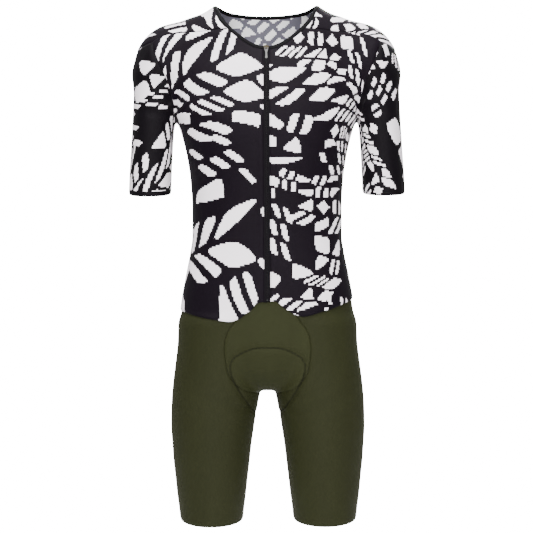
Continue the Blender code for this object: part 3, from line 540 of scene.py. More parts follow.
def grid_faces(grid):
    """The four-sided faces of a grid on the figure, facing out."""
    rows, columns = grid.shape[:2]
    index = np.arange(rows * columns).reshape(rows, columns)
    quads = np.stack([index[:-1, :-1], index[:-1, 1:], index[1:, 1:], index[1:, :-1]],
                     axis=-1).reshape(-1, 4)
    corners = grid.reshape(-1, 3)[quads[::7]]
    facing = np.cross(corners[:, 2] - corners[:, 0], corners[:, 3] - corners[:, 1])
    if (facing * outward(corners.mean(axis=1))).sum() < 0:
        quads = quads[:, ::-1]
    return quads


class Cloth:
    """Grids of points with a cloth position each, joined where they meet."""

    def __init__(self):
        self.points, self.chart, self.quads, self.count = [], [], [], 0

    def add(self, grid, across, down):
        self.points.append(grid.reshape(-1, 3))
        self.chart.append(np.stack([across.reshape(-1), down.reshape(-1)], axis=1))
        self.quads.append(grid_faces(grid) + self.count)
        self.count += len(self.points[-1])

    def whole(self):
        points, chart = np.vstack(self.points), np.vstack(self.chart)
        quads = np.vstack(self.quads)
        _, keep, same = np.unique(np.round(points, 3), axis=0, return_index=True,
                                  return_inverse=True)
        same = same.reshape(-1)
        faces, charts = [], []
        for quad in quads:
            ring = [int(same[i]) for i in quad]
            kept = [i for i in range(4) if ring[i] != ring[(i + 1) % 4]]
            if len(kept) > 2:
                faces.append(tuple(ring[i] for i in kept))
                charts.append([tuple(chart[quad[i]]) for i in kept])
        return points[keep], faces, charts


def open_edges(faces):
    """Edges with one face only, with the place of that face and of the edge in it."""
    used = {}
    for f, face in enumerate(faces):
        for i, a in enumerate(face):
            used[(a, face[(i + 1) % len(face)])] = (f, i)
    return [(a, b, *where) for (a, b), where in sorted(used.items()) if (b, a) not in used]


def beside_zip(points):
    """Where the fronts' edges meet the zip's tapes."""
    across, deep, high = np.asarray(points).T
    return (np.abs(across) < ZIP_HALF + 1.5) & (deep < 0) & (high > HIP_SEAM)


def drawn_in(points, edges, normals, gap):
    """The points with their open edges drawn back, to leave a seam line."""
    points, level = points.copy(), beside_zip(points)
    inward = {}
    for a, b, *_ in edges:
        across = np.cross(normals[a] + normals[b], points[b] - points[a])
        across /= max(np.linalg.norm(across), TINY)
        for end in (a, b):
            inward.setdefault(end, []).append(across)
    for end, sides in inward.items():
        if level[end]:
            continue
        one, other = sides[0], sides[-1]
        points[end] += (one + other) * gap / 2 / max(1 + one @ other, 0.5)
    return points


def doubled(outer, inner, faces, charts, edges):
    """A closed shell between two layers: its points, faces, charts and material slots."""
    count = len(outer)
    all_faces = list(faces) + [tuple(i + count for i in face[::-1]) for face in faces]
    all_charts = list(charts) + [chart[::-1] for chart in charts]
    for a, b, f, i in edges:
        one, two = charts[f][i], charts[f][(i + 1) % len(charts[f])]
        all_faces.append((b, a, a + count, b + count))
        all_charts.append([two, one, one, two])
    slots = [0] * len(faces) + [1] * len(faces) + [2] * len(edges)
    return np.vstack([outer, inner]), all_faces, all_charts, slots


def tube(first, rings, sides):
    """The faces of a closed tube through rings of points, from the first point on."""
    faces = []
    for start in range(first, first + (rings - 1) * sides, sides):
        for turn in range(sides):
            a, b = start + turn, start + (turn + 1) % sides
            faces.append((a, b, b + sides, a + sides))
    last = first + (rings - 1) * sides
    return faces + [tuple(range(first, first + sides))[::-1], tuple(range(last, last + sides))]


def made(name, points, faces, materials, charts=None, slots=None):
    """A mesh object from points in millimetres."""
    mesh = bpy.data.meshes.new(name)
    mesh.from_pydata(np.asarray(points) * MM, [], faces)
    if charts is not None:
        layer = mesh.uv_layers.new(name="cloth")
        flat = np.array([place for face in charts for place in face], np.float32) * MM
        layer.data.foreach_set("uv", flat.reshape(-1))
    for material in materials:
        mesh.materials.append(material)
    if slots is not None:
        mesh.polygons.foreach_set("material_index", np.asarray(slots, np.int32))
    mesh.polygons.foreach_set("use_smooth", np.full(len(faces), True))
    mesh.update()
    piece = bpy.data.objects.new(name, mesh)
    bpy.context.collection.objects.link(piece)
    return piece


def facing_out(piece):
    """The piece with all its faces turned outwards."""
    shape = bmesh.new()
    shape.from_mesh(piece.data)
    bmesh.ops.recalc_face_normals(shape, faces=shape.faces)
    shape.to_mesh(piece.data)
    shape.free()
    return piece


def tree_of(points):
    """A search tree for the nearest of the points."""
    tree = KDTree(len(points))
    for i, point in enumerate(points):
        tree.insert(point, i)
    tree.balance()
    return tree


def seam_dip(points, edges):
    """How far the cloth sinks towards its seams. The zip's edges stay level."""
    rim = np.array([points[a] + (points[b] - points[a]) * step / 4
                    for a, b, *_ in edges for step in range(4)])
    tree = tree_of(rim[~beside_zip(rim)])
    away = np.array([tree.find(point)[2] for point in points])
    return SEAM_DIP * np.exp(-(away / SEAM_SPREAD) ** 2)


def shell(name, cloth, outside, materials, thick=CLOTH, gap=SEAM_GAP, shape=None, dips=True):
    """A thin closed shell of cloth: its face, its reverse and its cut edge."""
    points, faces, charts = cloth.whole()
    normals = outward(points)
    edges = open_edges(faces)
    points = drawn_in(points, edges, normals, gap)
    height = lift(points)
    if shape is not None:
        height = height + shape(points)
    if dips:
        height = height - seam_dip(points, edges)
    outer = points + normals * (outside + height)[:, None]
    inner = points + normals * (outside - thick + height)[:, None]
    points, faces, charts, slots = doubled(outer, inner, faces, charts, edges)
    return made(name, points, faces, materials, charts, slots)


def strip(name, path, profile, base, finish, closed=False, lifted=True, soft=0):
    """A low band along a line on the figure. The profile gives places across and out.

    The far side of a soft band is rounded where its line turns sharply.
    """
    profile = np.array(profile, float)
    if closed:
        ahead = np.roll(path, -1, axis=0) - np.roll(path, 1, axis=0)
    else:
        ahead = np.gradient(path, axis=0)
    to_side = unit(np.cross(outward(path), unit(ahead)))
    rise = lift(path) if lifted else np.zeros(len(path))
    along = distances(path)
    along = np.append(along, along[-1] + 3)
    rings = []
    for across, out in profile:
        on = settled(path + to_side * across)
        share = min(max(across / profile[:, 0].max(), 0), 1) / 4
        for _ in range(soft):
            on[1:-1] += share * (on[2:] - 2 * on[1:-1] + on[:-2])
        rings.append(on + outward(on) * (base + out + rise)[:, None])
    points = np.stack(rings, axis=1)
    count, sides = points.shape[:2]
    faces, charts = [], []
    for r in range(count if closed else count - 1):
        start, after = r * sides, (r + 1) % count * sides
        for s in range(sides):
            t = (s + 1) % sides
            faces.append((start + s, after + s, after + t, start + t))
            charts.append([(profile[side, 0], along[ring]) for side, ring in
                           ((s, r), (s, r + 1), (t, r + 1), (t, r))])
    if not closed:
        for end, order in ((0, 1), (count - 1, -1)):
            ring = range(sides)[::order]
            faces.append(tuple(end * sides + s for s in ring))
            charts.append([(profile[s, 0], along[end]) for s in ring])
    return facing_out(made(name, points.reshape(-1, 3), faces, [finish], charts))


# A stitch's rings: places along it, and sizes there.
STITCH_RINGS = ((-0.5, 0.35), (-0.25, 1), (0.25, 1), (0.5, 0.35))


def stitches(name, paths, pitch, length, width, high, base, finish, slant=0.0):
    """Rows of separate stitches lying on the cloth, with their ends sunk into it."""
    points, faces = [], []
    for path in paths:
        at = distances(path)
        places = np.arange(pitch / 2, at[-1], pitch)
        ahead = unit(spread(places + 0.5, at, path) - spread(places - 0.5, at, path))
        here = settled(spread(places, at, path))
        normals = outward(here)
        turned = unit(ahead + slant * unit(np.cross(normals, ahead)))
        across = np.cross(normals, turned)
        centre = here + normals * (base + lift(here))[:, None]
        for c, n, t, s in zip(centre, normals, turned, across):
            faces += tube(len(points), len(STITCH_RINGS), 4)
            for share, size in STITCH_RINGS:
                sink = -high * 0.9 if abs(share) > 0.4 else 0
                for turn in range(4):
                    a = pi / 2 * turn + pi / 4
                    points.append(c + t * share * length + s * cos(a) * width / 2 * size * 1.4
                                  + n * (high / 2 * size * sin(a) * 1.4 + sink + high * 0.2))
    return made(name, np.array(points), faces, [finish])


# ---- Shader sums -----------------------------------------------------------------------

def sum_of(operation, swapped=False):
    """A method that writes one sum as a node, with its two sides swapped where asked."""
    def method(self, *others):
        return self.net.math(operation, *((*others, self) if swapped else (self, *others)))
    return method


class Value:
    """A socket that can be added, multiplied and compared."""

    def __init__(self, net, socket):
        self.net, self.socket = net, socket

    __add__, __sub__, __mul__ = sum_of("ADD"), sum_of("SUBTRACT"), sum_of("MULTIPLY")
    __radd__, __rsub__, __rmul__ = sum_of("ADD", True), sum_of("SUBTRACT", True), __mul__
    __truediv__, __lt__, __gt__ = sum_of("DIVIDE"), sum_of("LESS_THAN"), sum_of("GREATER_THAN")
    __abs__, floor, fract = sum_of("ABSOLUTE"), sum_of("FLOOR"), sum_of("FRACT")
    sin, least, most = sum_of("SINE"), sum_of("MINIMUM"), sum_of("MAXIMUM")


class Net:
    """Writes sums and textures as nodes."""

    def __init__(self, tree):
        self.tree = tree

    def put(self, value, socket):
        if isinstance(value, Value):
            self.tree.links.new(value.socket, socket)
        else:
            socket.default_value = value

    def node(self, kind, inputs=None, **settings):
        node = self.tree.nodes.new(kind)
        for key, value in settings.items():
            setattr(node, key, value)
        for key, value in (inputs or {}).items():
            self.put(value, node.inputs[key])
        return node

    def out(self, kind, inputs=None, output=0, **settings):
        """One output of a new node."""
        return Value(self, self.node(kind, inputs, **settings).outputs[output])

    def math(self, operation, *values):
        return self.out("ShaderNodeMath", dict(enumerate(values)), operation=operation)

    def colour(self, share, one, other):
        one, other = [(*c, 1) if isinstance(c, tuple) else c for c in (one, other)]
        return self.out("ShaderNodeMix", {0: share, 6: one, 7: other}, 2, data_type="RGBA")

    def split(self, vector):
        node = self.node("ShaderNodeSeparateXYZ", {0: vector})
        return [Value(self, out) for out in node.outputs]

    def vector(self, x, y, z=0.0):
        return self.out("ShaderNodeCombineXYZ", {0: x, 1: y, 2: z})

    def cloth(self):
        return self.split(self.out("ShaderNodeUVMap", uv_map="cloth"))[:2]

    def place(self):
        return self.out("ShaderNodeTexCoord", output="Object")

    def noise(self, vector, scale, detail=2.0, output=0):
        """Smooth noise: a number, or as output 1 a colour."""
        return self.out("ShaderNodeTexNoise",
                        {"Vector": vector, "Scale": scale, "Detail": detail}, output)

    def hashed(self, x, y, z=0.0):
        """Three numbers between 0 and 1 that differ from cell to cell."""
        return self.split(self.out("ShaderNodeTexWhiteNoise", {"Vector": self.vector(x, y, z)},
                                   "Color", noise_dimensions="3D"))

    def finish(self, shader, share, dark, light, height=None, distance=0.0, strength=0.5):
        """Gives a shader a colour between two, and a relief where there is a height."""
        self.put(self.colour(share, dark, light), shader.inputs["Base Color"])
        if height is not None:
            relief = {"Height": height, "Distance": distance, "Strength": strength}
            self.put(self.out("ShaderNodeBump", relief), shader.inputs["Normal"])


def between(value, low, high):
    return (value > low) * (value < high)


def rounded(net, far, tall, reach, high):
    """1 inside a box with rounded corners."""
    a = net.math("POWER", far / reach, 4.5)
    b = net.math("POWER", tall / high, 4.5)
    return (a + b) < 1.0


SOLID = 0.56               # noise above this keeps the print dark
PIXEL = 0.0028             # the print's steps, in metres, as are the rows' heights
LARGE_ROW, SMALL_ROW, DASH_ROW = 0.054, 0.036, 0.037
WARP = (0.13, 0.15)        # how far noise pushes the rows across and down


def pattern_zone(net, across, down, seed):
    return net.noise(net.vector(across, down, seed), 6.5, 0.0)


def cells_of(net, across, down, high, seed):
    """The row of a place, its height in the row and three numbers for the row."""
    row = (down / high).floor()
    return row, (down / high).fract() - 0.5, net.hashed(row, *seed)


def motif_rows(net, across, down, high, seed, slant=1.7):
    """Rows of plain tiles, half tiles, bars and lozenges.

    Gives 1 where a motif is pale, and what the zone and the size noise say at the middle of
    its tile, so that a motif is shown or left out whole.
    """
    row, y, (r1, r2, r3) = cells_of(net, across, down, high, (seed, 3.7))
    wide = high * (0.9 + 0.6 * r1)
    place = across / wide + 9.0 * r2 + (r3 - 0.5) * slant * y
    cell, x = place.floor(), place.fract() - 0.5
    middle = (cell + 0.5 - 9.0 * r2) * wide, (row + 0.5) * high
    zone = pattern_zone(net, *middle, seed)
    pick = net.noise(net.vector(middle[0] * 1.2, middle[1] * 0.8, seed + 4.0), 4.0, 0.0)
    k1, k2, k3 = net.hashed(cell, row, seed)
    x = x * net.math("SIGN", k3 - 0.5)
    tall, far = abs(y), abs(x)
    body = rounded(net, far, tall, 0.415, 0.41)
    rise = y * net.math("SIGN", k2 - 0.5)
    shapes = [
        (0.0, 0.16, body),
        (0.16, 0.26, body * (rise < 0.3 * x + 0.05)),
        (0.26, 0.56, body * (far > 0.125)),
        (0.56, 0.76, body * (x < rise * 0.9 + 0.06)),
        (0.76, 0.88, body * (abs(far - 0.17) > 0.08)),
        (0.88, 0.97, (far * 1.15 + tall) < 0.43),
    ]
    parts = [between(k1, low - 0.0001, top) * shape for low, top, shape in shapes]
    return sum(parts[1:], parts[0]).least(1.0), zone, pick


def sparse_rows(net, across, down, high, seed):
    """Rows of short slanted dashes with gaps: the dashes, their cells and the zone there."""
    row, y, (r1, _, _) = cells_of(net, across, down, high, (seed, 1.3))
    wide = high * 0.72
    place = across / wide + 5.0 * r1 + 0.85 * y
    cell, x = place.floor(), place.fract() - 0.5
    zone = pattern_zone(net, (cell + 0.5 - 5.0 * r1) * wide, (row + 0.5) * high, seed + 4.4)
    k1, _, _ = net.hashed(cell, row, seed)
    return rounded(net, abs(x), abs(y), 0.25, 0.38), k1 < 0.6, zone


def print_group():
    """The print: a place on the cloth in metres, a seed, a turn and a size give paleness."""
    tree = bpy.data.node_groups.new("warped rows", "ShaderNodeTree")
    for name in ("Across", "Down", "Seed", "Turn", "Size", "Pale"):
        tree.interface.new_socket(name, in_out="OUTPUT" if name == "Pale" else "INPUT",
                                  socket_type="NodeSocketFloat")
    net = Net(tree)
    start = net.node("NodeGroupInput")
    across, down, seed, turn, size = [Value(net, start.outputs[i]) for i in range(5)]
    across, down = [((way / PIXEL).floor() + 0.5) * PIXEL for way in (across, down)]
    d1, d2, _ = net.split(net.noise(net.vector(across, down, seed), 3.2, 1.0, output=1))
    c, s = net.math("COSINE", turn), net.math("SINE", turn)
    u = across + WARP[0] * (d1 - 0.5)
    v = down + WARP[1] * (d2 - 0.5)
    a = (u * c - v * s) / size
    b = (u * s + v * c) / size
    large, large_zone, pick = motif_rows(net, a, b, LARGE_ROW, seed + 5.0)
    small, small_zone, small_pick = motif_rows(net, a, b, SMALL_ROW, seed + 5.0)
    dashes, kept, dash_zone = sparse_rows(net, a, b, DASH_ROW, seed + 0.6)
    pale = large * (pick > 0.5) * (large_zone < SOLID)
    pale = pale.most(small * (small_pick < 0.43) * (small_zone < SOLID + 0.02))
    pale = pale.most(dashes * kept * (dash_zone > SOLID + 0.05))
    net.put(pale, net.node("NodeGroupOutput").inputs[0])
    return tree


PRINT = print_group()


def material(name, colour=(0.5, 0.5, 0.5), rough=0.8, metal=0.0, sheen=0.0, tint=(1, 1, 1),
             gloss=0.06):
    """A material with constant finish values set on its shader."""
    found = bpy.data.materials.new(name)
    found.use_nodes = True
    shader = found.node_tree.nodes["Principled BSDF"]
    values = {"Base Color": (*colour, 1), "Roughness": rough, "Metallic": metal,
              "Specular IOR Level": gloss}
    if sheen:
        values.update({"Sheen Weight": sheen, "Sheen Roughness": 0.5, "Sheen Tint": (*tint, 1)})
    for socket, value in values.items():
        shader.inputs[socket].default_value = value
    return found, Net(found.node_tree), shader


def speckled(name, dark, light, rough, scale, bump=0.0, detail=2.0, **finish):
    """A finish whose colour and relief follow one fine noise."""
    found, net, shader = material(name, dark, rough, **finish)
    grain = net.noise(net.place(), scale, detail)
    net.finish(shader, grain, dark, light, grain if bump else None, bump)
    return found


def raw_edge(name, colour):
    return speckled(name, tuple(0.6 * c for c in colour), colour, 0.9, 900.0, 0.0004)


def thread(name, dark, light):
    return speckled(name, dark, light, 0.7, 1500.0, 0.0002, detail=1.0, sheen=0.01)


def knit(across, down, pitch):
    """The height of fine knitted loops."""
    rows = (down * (2 * pi / pitch)).sin()
    loops = ((across * (2 * pi / (pitch * 0.8))) + 0.6 * rows).sin()
    return 0.5 + 0.25 * rows + 0.25 * loops


# The print's dark and pale, on the face and on the reverse.
INK, CHALK = (0.0022, 0.0006, 0.0027), (0.87, 0.806, 0.852)
INK_BACK, CHALK_BACK = (0.122, 0.117, 0.147), (0.9, 0.885, 0.9)


def printed_knit(name, seed, turn, size, reverse=False, band=0.0, painted_shade_factor=1.0):
    dark, pale = (INK_BACK, CHALK_BACK) if reverse else (INK, CHALK)
    # A factor below 1 darkens both the ink and the pale of the print: painted shade, used on the
    # sleeves, which turn away from the lamps.
    dark, pale = tuple(painted_shade_factor * c for c in dark), tuple((0.88 + 0.12 * painted_shade_factor) * c for c in pale)
    found, net, shader = material(name, rough=0.6, sheen=0.01, gloss=0.075)
    across, down = net.cloth()
    share = net.out("ShaderNodeGroup", node_tree=PRINT)
    group = share.socket.node
    for value, socket in zip((across, down, seed, turn, size), group.inputs):
        net.put(value, socket)
    if band:
        share = share * (down > band)
    mottle = net.noise(net.place(), 260.0, 3.0)
    wash = net.noise(net.place(), 9.0, 2.0)
    share = share * (0.9 + 0.06 * wash + 0.05 * mottle)
    net.finish(shader, share, dark, pale, knit(across, down, 0.0012) + 0.3 * mottle, 0.00025, 0.35)
    return found


OLIVE, OLIVE_DEEP = (0.0129, 0.0142, 0.0044), (0.0092, 0.0101, 0.0031)


def olive_knit(name, deep=OLIVE_DEEP, light=OLIVE):
    found, net, shader = material(name, rough=0.62, sheen=0.02, tint=(0.85, 0.88, 0.5),
                                  gloss=0.08)
    across, down = net.cloth()
    # Soft vertical streaks between the darker and the lighter olive: painted shade, standing in
    # for soft shading across the legs' form.
    wash = net.noise(net.vector(across * 21.0, down * 3.0, 0.0), 1.0, 2.0)
    fine = net.noise(net.place(), 420.0, 2.0)
    rib = knit(across, down, 0.0011)
    share = (0.15 + 0.8 * wash + 0.3 * (fine - 0.5) + 0.15 * rib).least(1.0)
    net.finish(shader, share, deep, light, rib + 0.5 * fine, 0.00022, 0.4)
    net.put(0.58 + 0.12 * fine, shader.inputs["Roughness"])
    return found


def woven(name, dark, light, pitch):
    """A twilled tape: u runs across the tape and v along it."""
    found, net, shader = material(name, dark, 0.75, sheen=0.01)
    across, down = net.cloth()
    twill = ((abs(across) * 1.4 + down) * (2 * pi / pitch)).sin()
    ribs = (down * (2 * pi / (pitch * 0.5))).sin()
    fuzz = net.noise(net.place(), 700.0, 2.0)
    height = 0.5 + 0.3 * twill + 0.15 * ribs + 0.2 * fuzz
    net.finish(shader, height.least(1.0).most(0.0), dark, light, height, 0.0003)
    return found


def flat_seam(name, dark, light, pitch=0.0021):
    """Flat zigzag stitching: u runs across the seam and v along it."""
    found, net, shader = material(name, dark, 0.8, sheen=0.05)
    across, down = net.cloth()
    zigzag = abs((down / pitch).fract() - 0.5) * 0.0052 - 0.0013
    crossing = abs(across - zigzag) < 0.00042
    rails = between(abs(across), 0.0014, 0.0020)
    beads = (down * (2 * pi / (pitch * 0.7))).sin() * 0.5 + 0.5
    height = (crossing * 0.8).most(rails * (0.35 + 0.6 * beads))
    fuzz = net.noise(net.place(), 800.0, 2.0)
    share = (height * 0.85 + 0.25 * (fuzz - 0.3)).most(0.0).least(1.0)
    net.finish(shader, share, dark, light, height + 0.3 * fuzz, 0.0004, 0.6)
    return found


def metal(name, colour, worn, rough):
    found, net, shader = material(name, colour, rough, metal=1.0)
    grain = net.noise(net.place(), 500.0, 3.0)
    marks = net.noise(net.place(), 2600.0, 2.0)
    net.finish(shader, grain, colour, worn, marks, 0.00005, 0.4)
    net.put(rough - 0.08 + 0.22 * marks, shader.inputs["Roughness"])
    return found


# ---- Pieces ----------------------------------------------------------------------------

def on_figure(grid):
    grid[1:-1, 1:-1] = settled(grid[1:-1, 1:-1])
    return grid


def rim_height(rim, facing):
    height, dip = rim
    return height - dip * facing


def level_onto(points, middle):
    starts = np.stack([np.full(len(points), middle), np.zeros(len(points)), points[:, 2]],
                      axis=1)
    away = (points - starts) * [1, 1, 0]
    return crossed(starts, away / np.linalg.norm(away, axis=1)[:, None], True)


def half_cloth(cloth, edges, side, line, crest, middle, armhole, hem):
    """Adds half a front or back, above and below its line. Gives the upper part's chart."""
    upper = on_figure(patch(edges[line], np.vstack([edges[crest[0]], edges[crest[1]][1:]]),
                            edges[middle + " upper"][::-1], edges[armhole][::-1]))
    lower = on_figure(patch(edges[line], edges[hem], edges[middle + " lower"],
                            edges["side"]))
    across, high = side * run_along(upper, 1), run_along(upper, 0)
    cloth.add(upper, across, high)
    cloth.add(lower, side * run_along(lower, 1), -run_along(lower, 0))
    return across, high


def front_cloth(edges, side):
    cloth = Cloth()
    half_cloth(cloth, edges, side, "chest", ("neck front", "shoulder"), "zip",
               "armhole front", "hem front")
    return cloth


def back_cloth():
    cloth = Cloth()
    for _, edges, side in SIDES:
        across, high = half_cloth(cloth, edges, side, "back line", ("neck back", "ridge"),
                                  "back", "armhole back", "hem back")
        yoke = on_figure(patch(edges["shoulder"], edges["ridge"], edges["neck side"],
                               edges["armhole top"]))
        start = len(edges["neck back"]) - 1
        cloth.add(yoke, np.repeat(across[-1:, start:], len(yoke), axis=0),
                  high[-1, start:][None, :] + run_along(yoke[::-1], 0)[::-1])
    return cloth


def sleeve_cloth(edges, side):
    loop = np.vstack([edges["armhole front"][::-1], edges["armhole top"][1:],
                      edges["armhole back"][1:]])
    turn = np.linspace(0, 2 * pi, len(loop))
    middle = ARM.at(CUFF[0])[0]
    cuff = np.stack([side * (middle - SLEEVE_CORE * np.cos(turn)), -SLEEVE_CORE * np.sin(turn),
                     rim_height(CUFF, np.sin(turn))], axis=1)
    cuff = level_onto(cuff, side * middle)
    down = np.linspace(0, 1, CELLS["sleeve"] + 1)[:, None, None] ** SLEEVE_EASE
    rows = settled((1 - down) * loop + down * cuff)
    rows[0], rows[-1] = loop, cuff
    rows[:, -1] = rows[:, 0]
    share = np.linspace(0, 1, rows.shape[1])[None, :] * np.ones((rows.shape[0], 1))
    cloth = Cloth()
    cloth.add(rows, side * SLEEVE_ROUND * share, run_along(rows[::-1], 0)[::-1])
    return cloth


def leg_grid(edges):
    seat, inside = CELLS["seat"], CELLS["inside leg"]
    crotch = edges["front"][-1, 2]
    dipped = crotch - CROTCH_DIP
    share = np.linspace(0, 1, seat + 1)
    height = np.concatenate([edges["front"][:, 2] - CROTCH_DIP * share ** 3,
                             np.linspace(dipped, LEG_HEM[0], inside + 1)[1:]])
    middle = LEG.at(height)[0]
    start, end = (np.zeros((len(height), 3)) for _ in range(2))
    below = np.arange(len(height)) - seat
    blend = 3 * inside / 10
    start[:, 2] = end[:, 2] = height + CROTCH_DIP * np.clip(1 - below / blend, 0, 1)
    start[:seat + 1], end[:seat + 1] = edges["front"], edges["back"]
    first = np.where(below < 0, np.arctan2(-start[:, 1], middle - start[:, 0]), 0)
    last = 2 * pi + np.where(below < 0, np.arctan2(-end[:, 1], middle - end[:, 0]), 0)
    turn = np.linspace(0, 1, CELLS["leg round"] + 1)[None]
    middle, height, first, last = (values[:, None] for values in (middle, height, first, last))
    angle = first + (last - first) * turn
    down = np.clip((dipped - height) / (dipped - LEG_HEM[0]), 0, 1)
    level = (height + (start[:, 2:] - height) * (1 - turn) ** SEAM_PULL
             + (end[:, 2:] - height) * turn ** SEAM_PULL
             + down ** 3 * (rim_height(LEG_HEM, np.sin(angle)) - LEG_HEM[0]))
    starts = np.stack([middle + 0 * angle, 0 * angle, level], axis=2)
    away = np.stack([-np.cos(angle), -np.sin(angle), 0 * angle], axis=2)
    rows = crossed(starts.reshape(-1, 3), away.reshape(-1, 3), True).reshape(starts.shape)
    rows[:seat + 1, 0], rows[:seat + 1, -1] = edges["front"], edges["back"]
    rows[seat + 1:, -1] = rows[seat + 1:, 0]
    return rows


def shorts_front_cloth(edges):
    cloth = Cloth()
    for side in (1, -1):
        rim = np.vstack([edges["front"], edges["tip"][::-1][1:]])
        top = edge([edges["centre"][0], edges["front"][0]], "front panel")
        tip = np.repeat(rim[-1:], CELLS["front panel"] + 1, axis=0)
        grid = on_figure(patch(top, tip, edges["centre"], rim))
        cloth.add(grid * [side, 1, 1], side * run_along(grid, 1), -run_along(grid, 0))
    return cloth


def pad_places(edges):
    """The pad's grid on the figure, with its half widths."""
    start = np.argmin(np.abs(edges["centre"][:CELLS["seat"], 2] - PAD_FRONT))
    under = edges["centre"][start + 1::4]
    front, behind = seen([(0, PAD_FRONT)], -1), seen([(0, z) for z in PAD_BEHIND], 1)
    spine = edge(np.vstack([front, under, behind]), PAD_STEPS)
    ease = (1 - np.cos(np.linspace(0, pi, CELLS["pad along"] + 1))) / 2
    places = PAD.places[-1] * (ease + np.linspace(0, 1, len(ease))) / 2
    middle = settled(spread(places, distances(spine), spine))
    half = PAD.at(places)[0]
    columns = {0: middle}
    reach = CELLS["pad across"] // 2
    for side in (1, -1):
        here, heading = middle, np.array([side, 0, 0]) * np.ones((len(middle), 1))
        for column in range(1, reach + 1):
            stride = half[:, None] / reach / PAD_STRIDES
            for _ in range(PAD_STRIDES):
                normal = outward(here)
                heading = unit(heading - (heading * normal).sum(axis=1)[:, None] * normal)
                there = settled(here + heading * stride)
                heading, here = there - here, there
            columns[side * column] = here
    grid = np.stack([columns[i] for i in range(-reach, reach + 1)], axis=1)
    return grid, places, half


def placed(piece, *nodes, body="garment", slot=None):
    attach(piece, body)
    if nodes:
        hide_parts(*nodes)


def worn(piece, node, slot, **cut):
    """Puts a worn piece in its node's place: hangs it on the garment and hides the node."""
    placed(piece, node, slot=slot)


LEFT, RIGHT = top_edges(1), top_edges(-1)
SIDES = (("left", LEFT, 1), ("right", RIGHT, -1))
SHORTS = leg_edges()
PAD_GRID = pad_places(SHORTS)
EDGE_INK = raw_edge("cut edge of the print", (0.02, 0.018, 0.022))
EDGE_OLIVE = raw_edge("cut edge of the shorts", (0.02, 0.021, 0.011))


# Each piece's print: a seed, a turn and a size.
PRINTS = {
    "front_left": (898.6, 0.23, 0.74), "front_right": (91.7, -0.3, 1.0),
    "back": (684.3, 0.7, 0.86), "sleeve_left": (285.3, 1.2, 0.74),
    "sleeve_right": (853.6, -0.8, 0.76),
}
CUFF_BAND = 0.0095
TOP_CUTS = {
    "front": {"flat": (0.235, 0.52)}, "back": {"flat": (0.48, 0.62)},
    "sleeve": {"flat": (0.34, 0.25), "area": 0.064},
}


def top_pieces():
    for node, place in PRINTS.items():
        kind = node.split("_")[0]
        edges, side = (RIGHT, -1) if node.endswith("right") else (LEFT, 1)
        # The sleeves get painted shade: their print is darkened through the factor 0.5 below.
        face = printed_knit("print " + node, *place, band=CUFF_BAND * (node == "sleeve_right"),
                            painted_shade_factor=0.5 if kind == "sleeve" else 1.0)
        inside = printed_knit("reverse " + node, *place, reverse=True)
        if kind == "back":
            cloth = back_cloth()
        else:
            cloth = (front_cloth if kind == "front" else sleeve_cloth)(edges, side)
        piece = shell("cloth_" + node, cloth, TOP_OUTSIDE, [face, inside, EDGE_INK])
        worn(piece, node, "printed_knit", **TOP_CUTS[kind])


PAD_SEWN = 2.5        # the stitching's distance from the pad's edge
PAD_SUNK = 1.5        # how deep it pulls the cloth in
PAD_SUNK_SPREAD = 2.7
IMPRINT_RISE, IMPRINT_SLOPE = 0.6, 14
IMPRINT_ON, IMPRINT_NEAR = 3.4, 6     # this close to the pad's middle layer is on it, near it
IMPRINT_LEVELS = (-770, PAD_FRONT + 30)


def pad_outline():
    grid = PAD_GRID[0]
    return np.vstack([grid[:, 0], grid[-1, 1:], grid[::-1, -1][1:], grid[0, ::-1][1:]])


def imprint(points):
    """How the pad inside shows through: a low rise, drawn in along its stitching."""
    inside = tree_of(PAD_GRID[0].reshape(-1, 3))
    rim = tree_of(evened_straight(pad_outline(), 900))
    height = np.zeros(len(points))
    low, high = IMPRINT_LEVELS
    for i in np.nonzero((points[:, 2] < high) & (points[:, 2] > low))[0]:
        away, off = rim.find(points[i])[2], inside.find(points[i])[2]
        if away > IMPRINT_SLOPE and off > IMPRINT_NEAR:
            continue
        within = off < IMPRINT_ON
        rise = min(away / IMPRINT_SLOPE, 1) if within else 0
        off = (away if within else -away) - PAD_SEWN
        height[i] = (IMPRINT_RISE * rise * rise * (3 - 2 * rise)
                     - PAD_SUNK * np.exp(-(off / PAD_SUNK_SPREAD) ** 2))
    return height


def shorts_pieces():
    olive = olive_knit("olive knit")
    inside = olive_knit("olive knit inside", (0.017, 0.018, 0.009), (0.026, 0.027, 0.013))
    rows = leg_grid(SHORTS)
    for word, _, side in SIDES:
        cloth = Cloth()
        cloth.add(rows * [side, 1, 1], side * run_along(rows, 1), -run_along(rows, 0))
        piece = shell("cloth_leg_" + word, cloth, SHORTS_OUTSIDE, [olive, inside, EDGE_OLIVE],
                      shape=imprint)
        worn(piece, "leg_" + word, "olive_knit", flat=(0.52, 0.43))
    # The front panel's olive is painted lighter than the legs' olive: painted light, making up for
    # the light that reaches the downward-facing panel less.
    light = olive_knit("olive front with painted light", (0.0109, 0.0121, 0.0037), (0.0153, 0.017, 0.0053))
    piece = shell("cloth_shorts_front", shorts_front_cloth(SHORTS), SHORTS_OUTSIDE,
                  [light, inside, EDGE_OLIVE], shape=imprint)
    worn(piece, "shorts_front", "olive_knit", flat=(0.16, 0.25), area=0.031)


def beside(path, distance):
    """A line on the figure at a distance to the left of a path, seen from outside."""
    ahead = unit(np.gradient(path, axis=0))
    return settled(path + unit(np.cross(outward(path), ahead)) * distance)


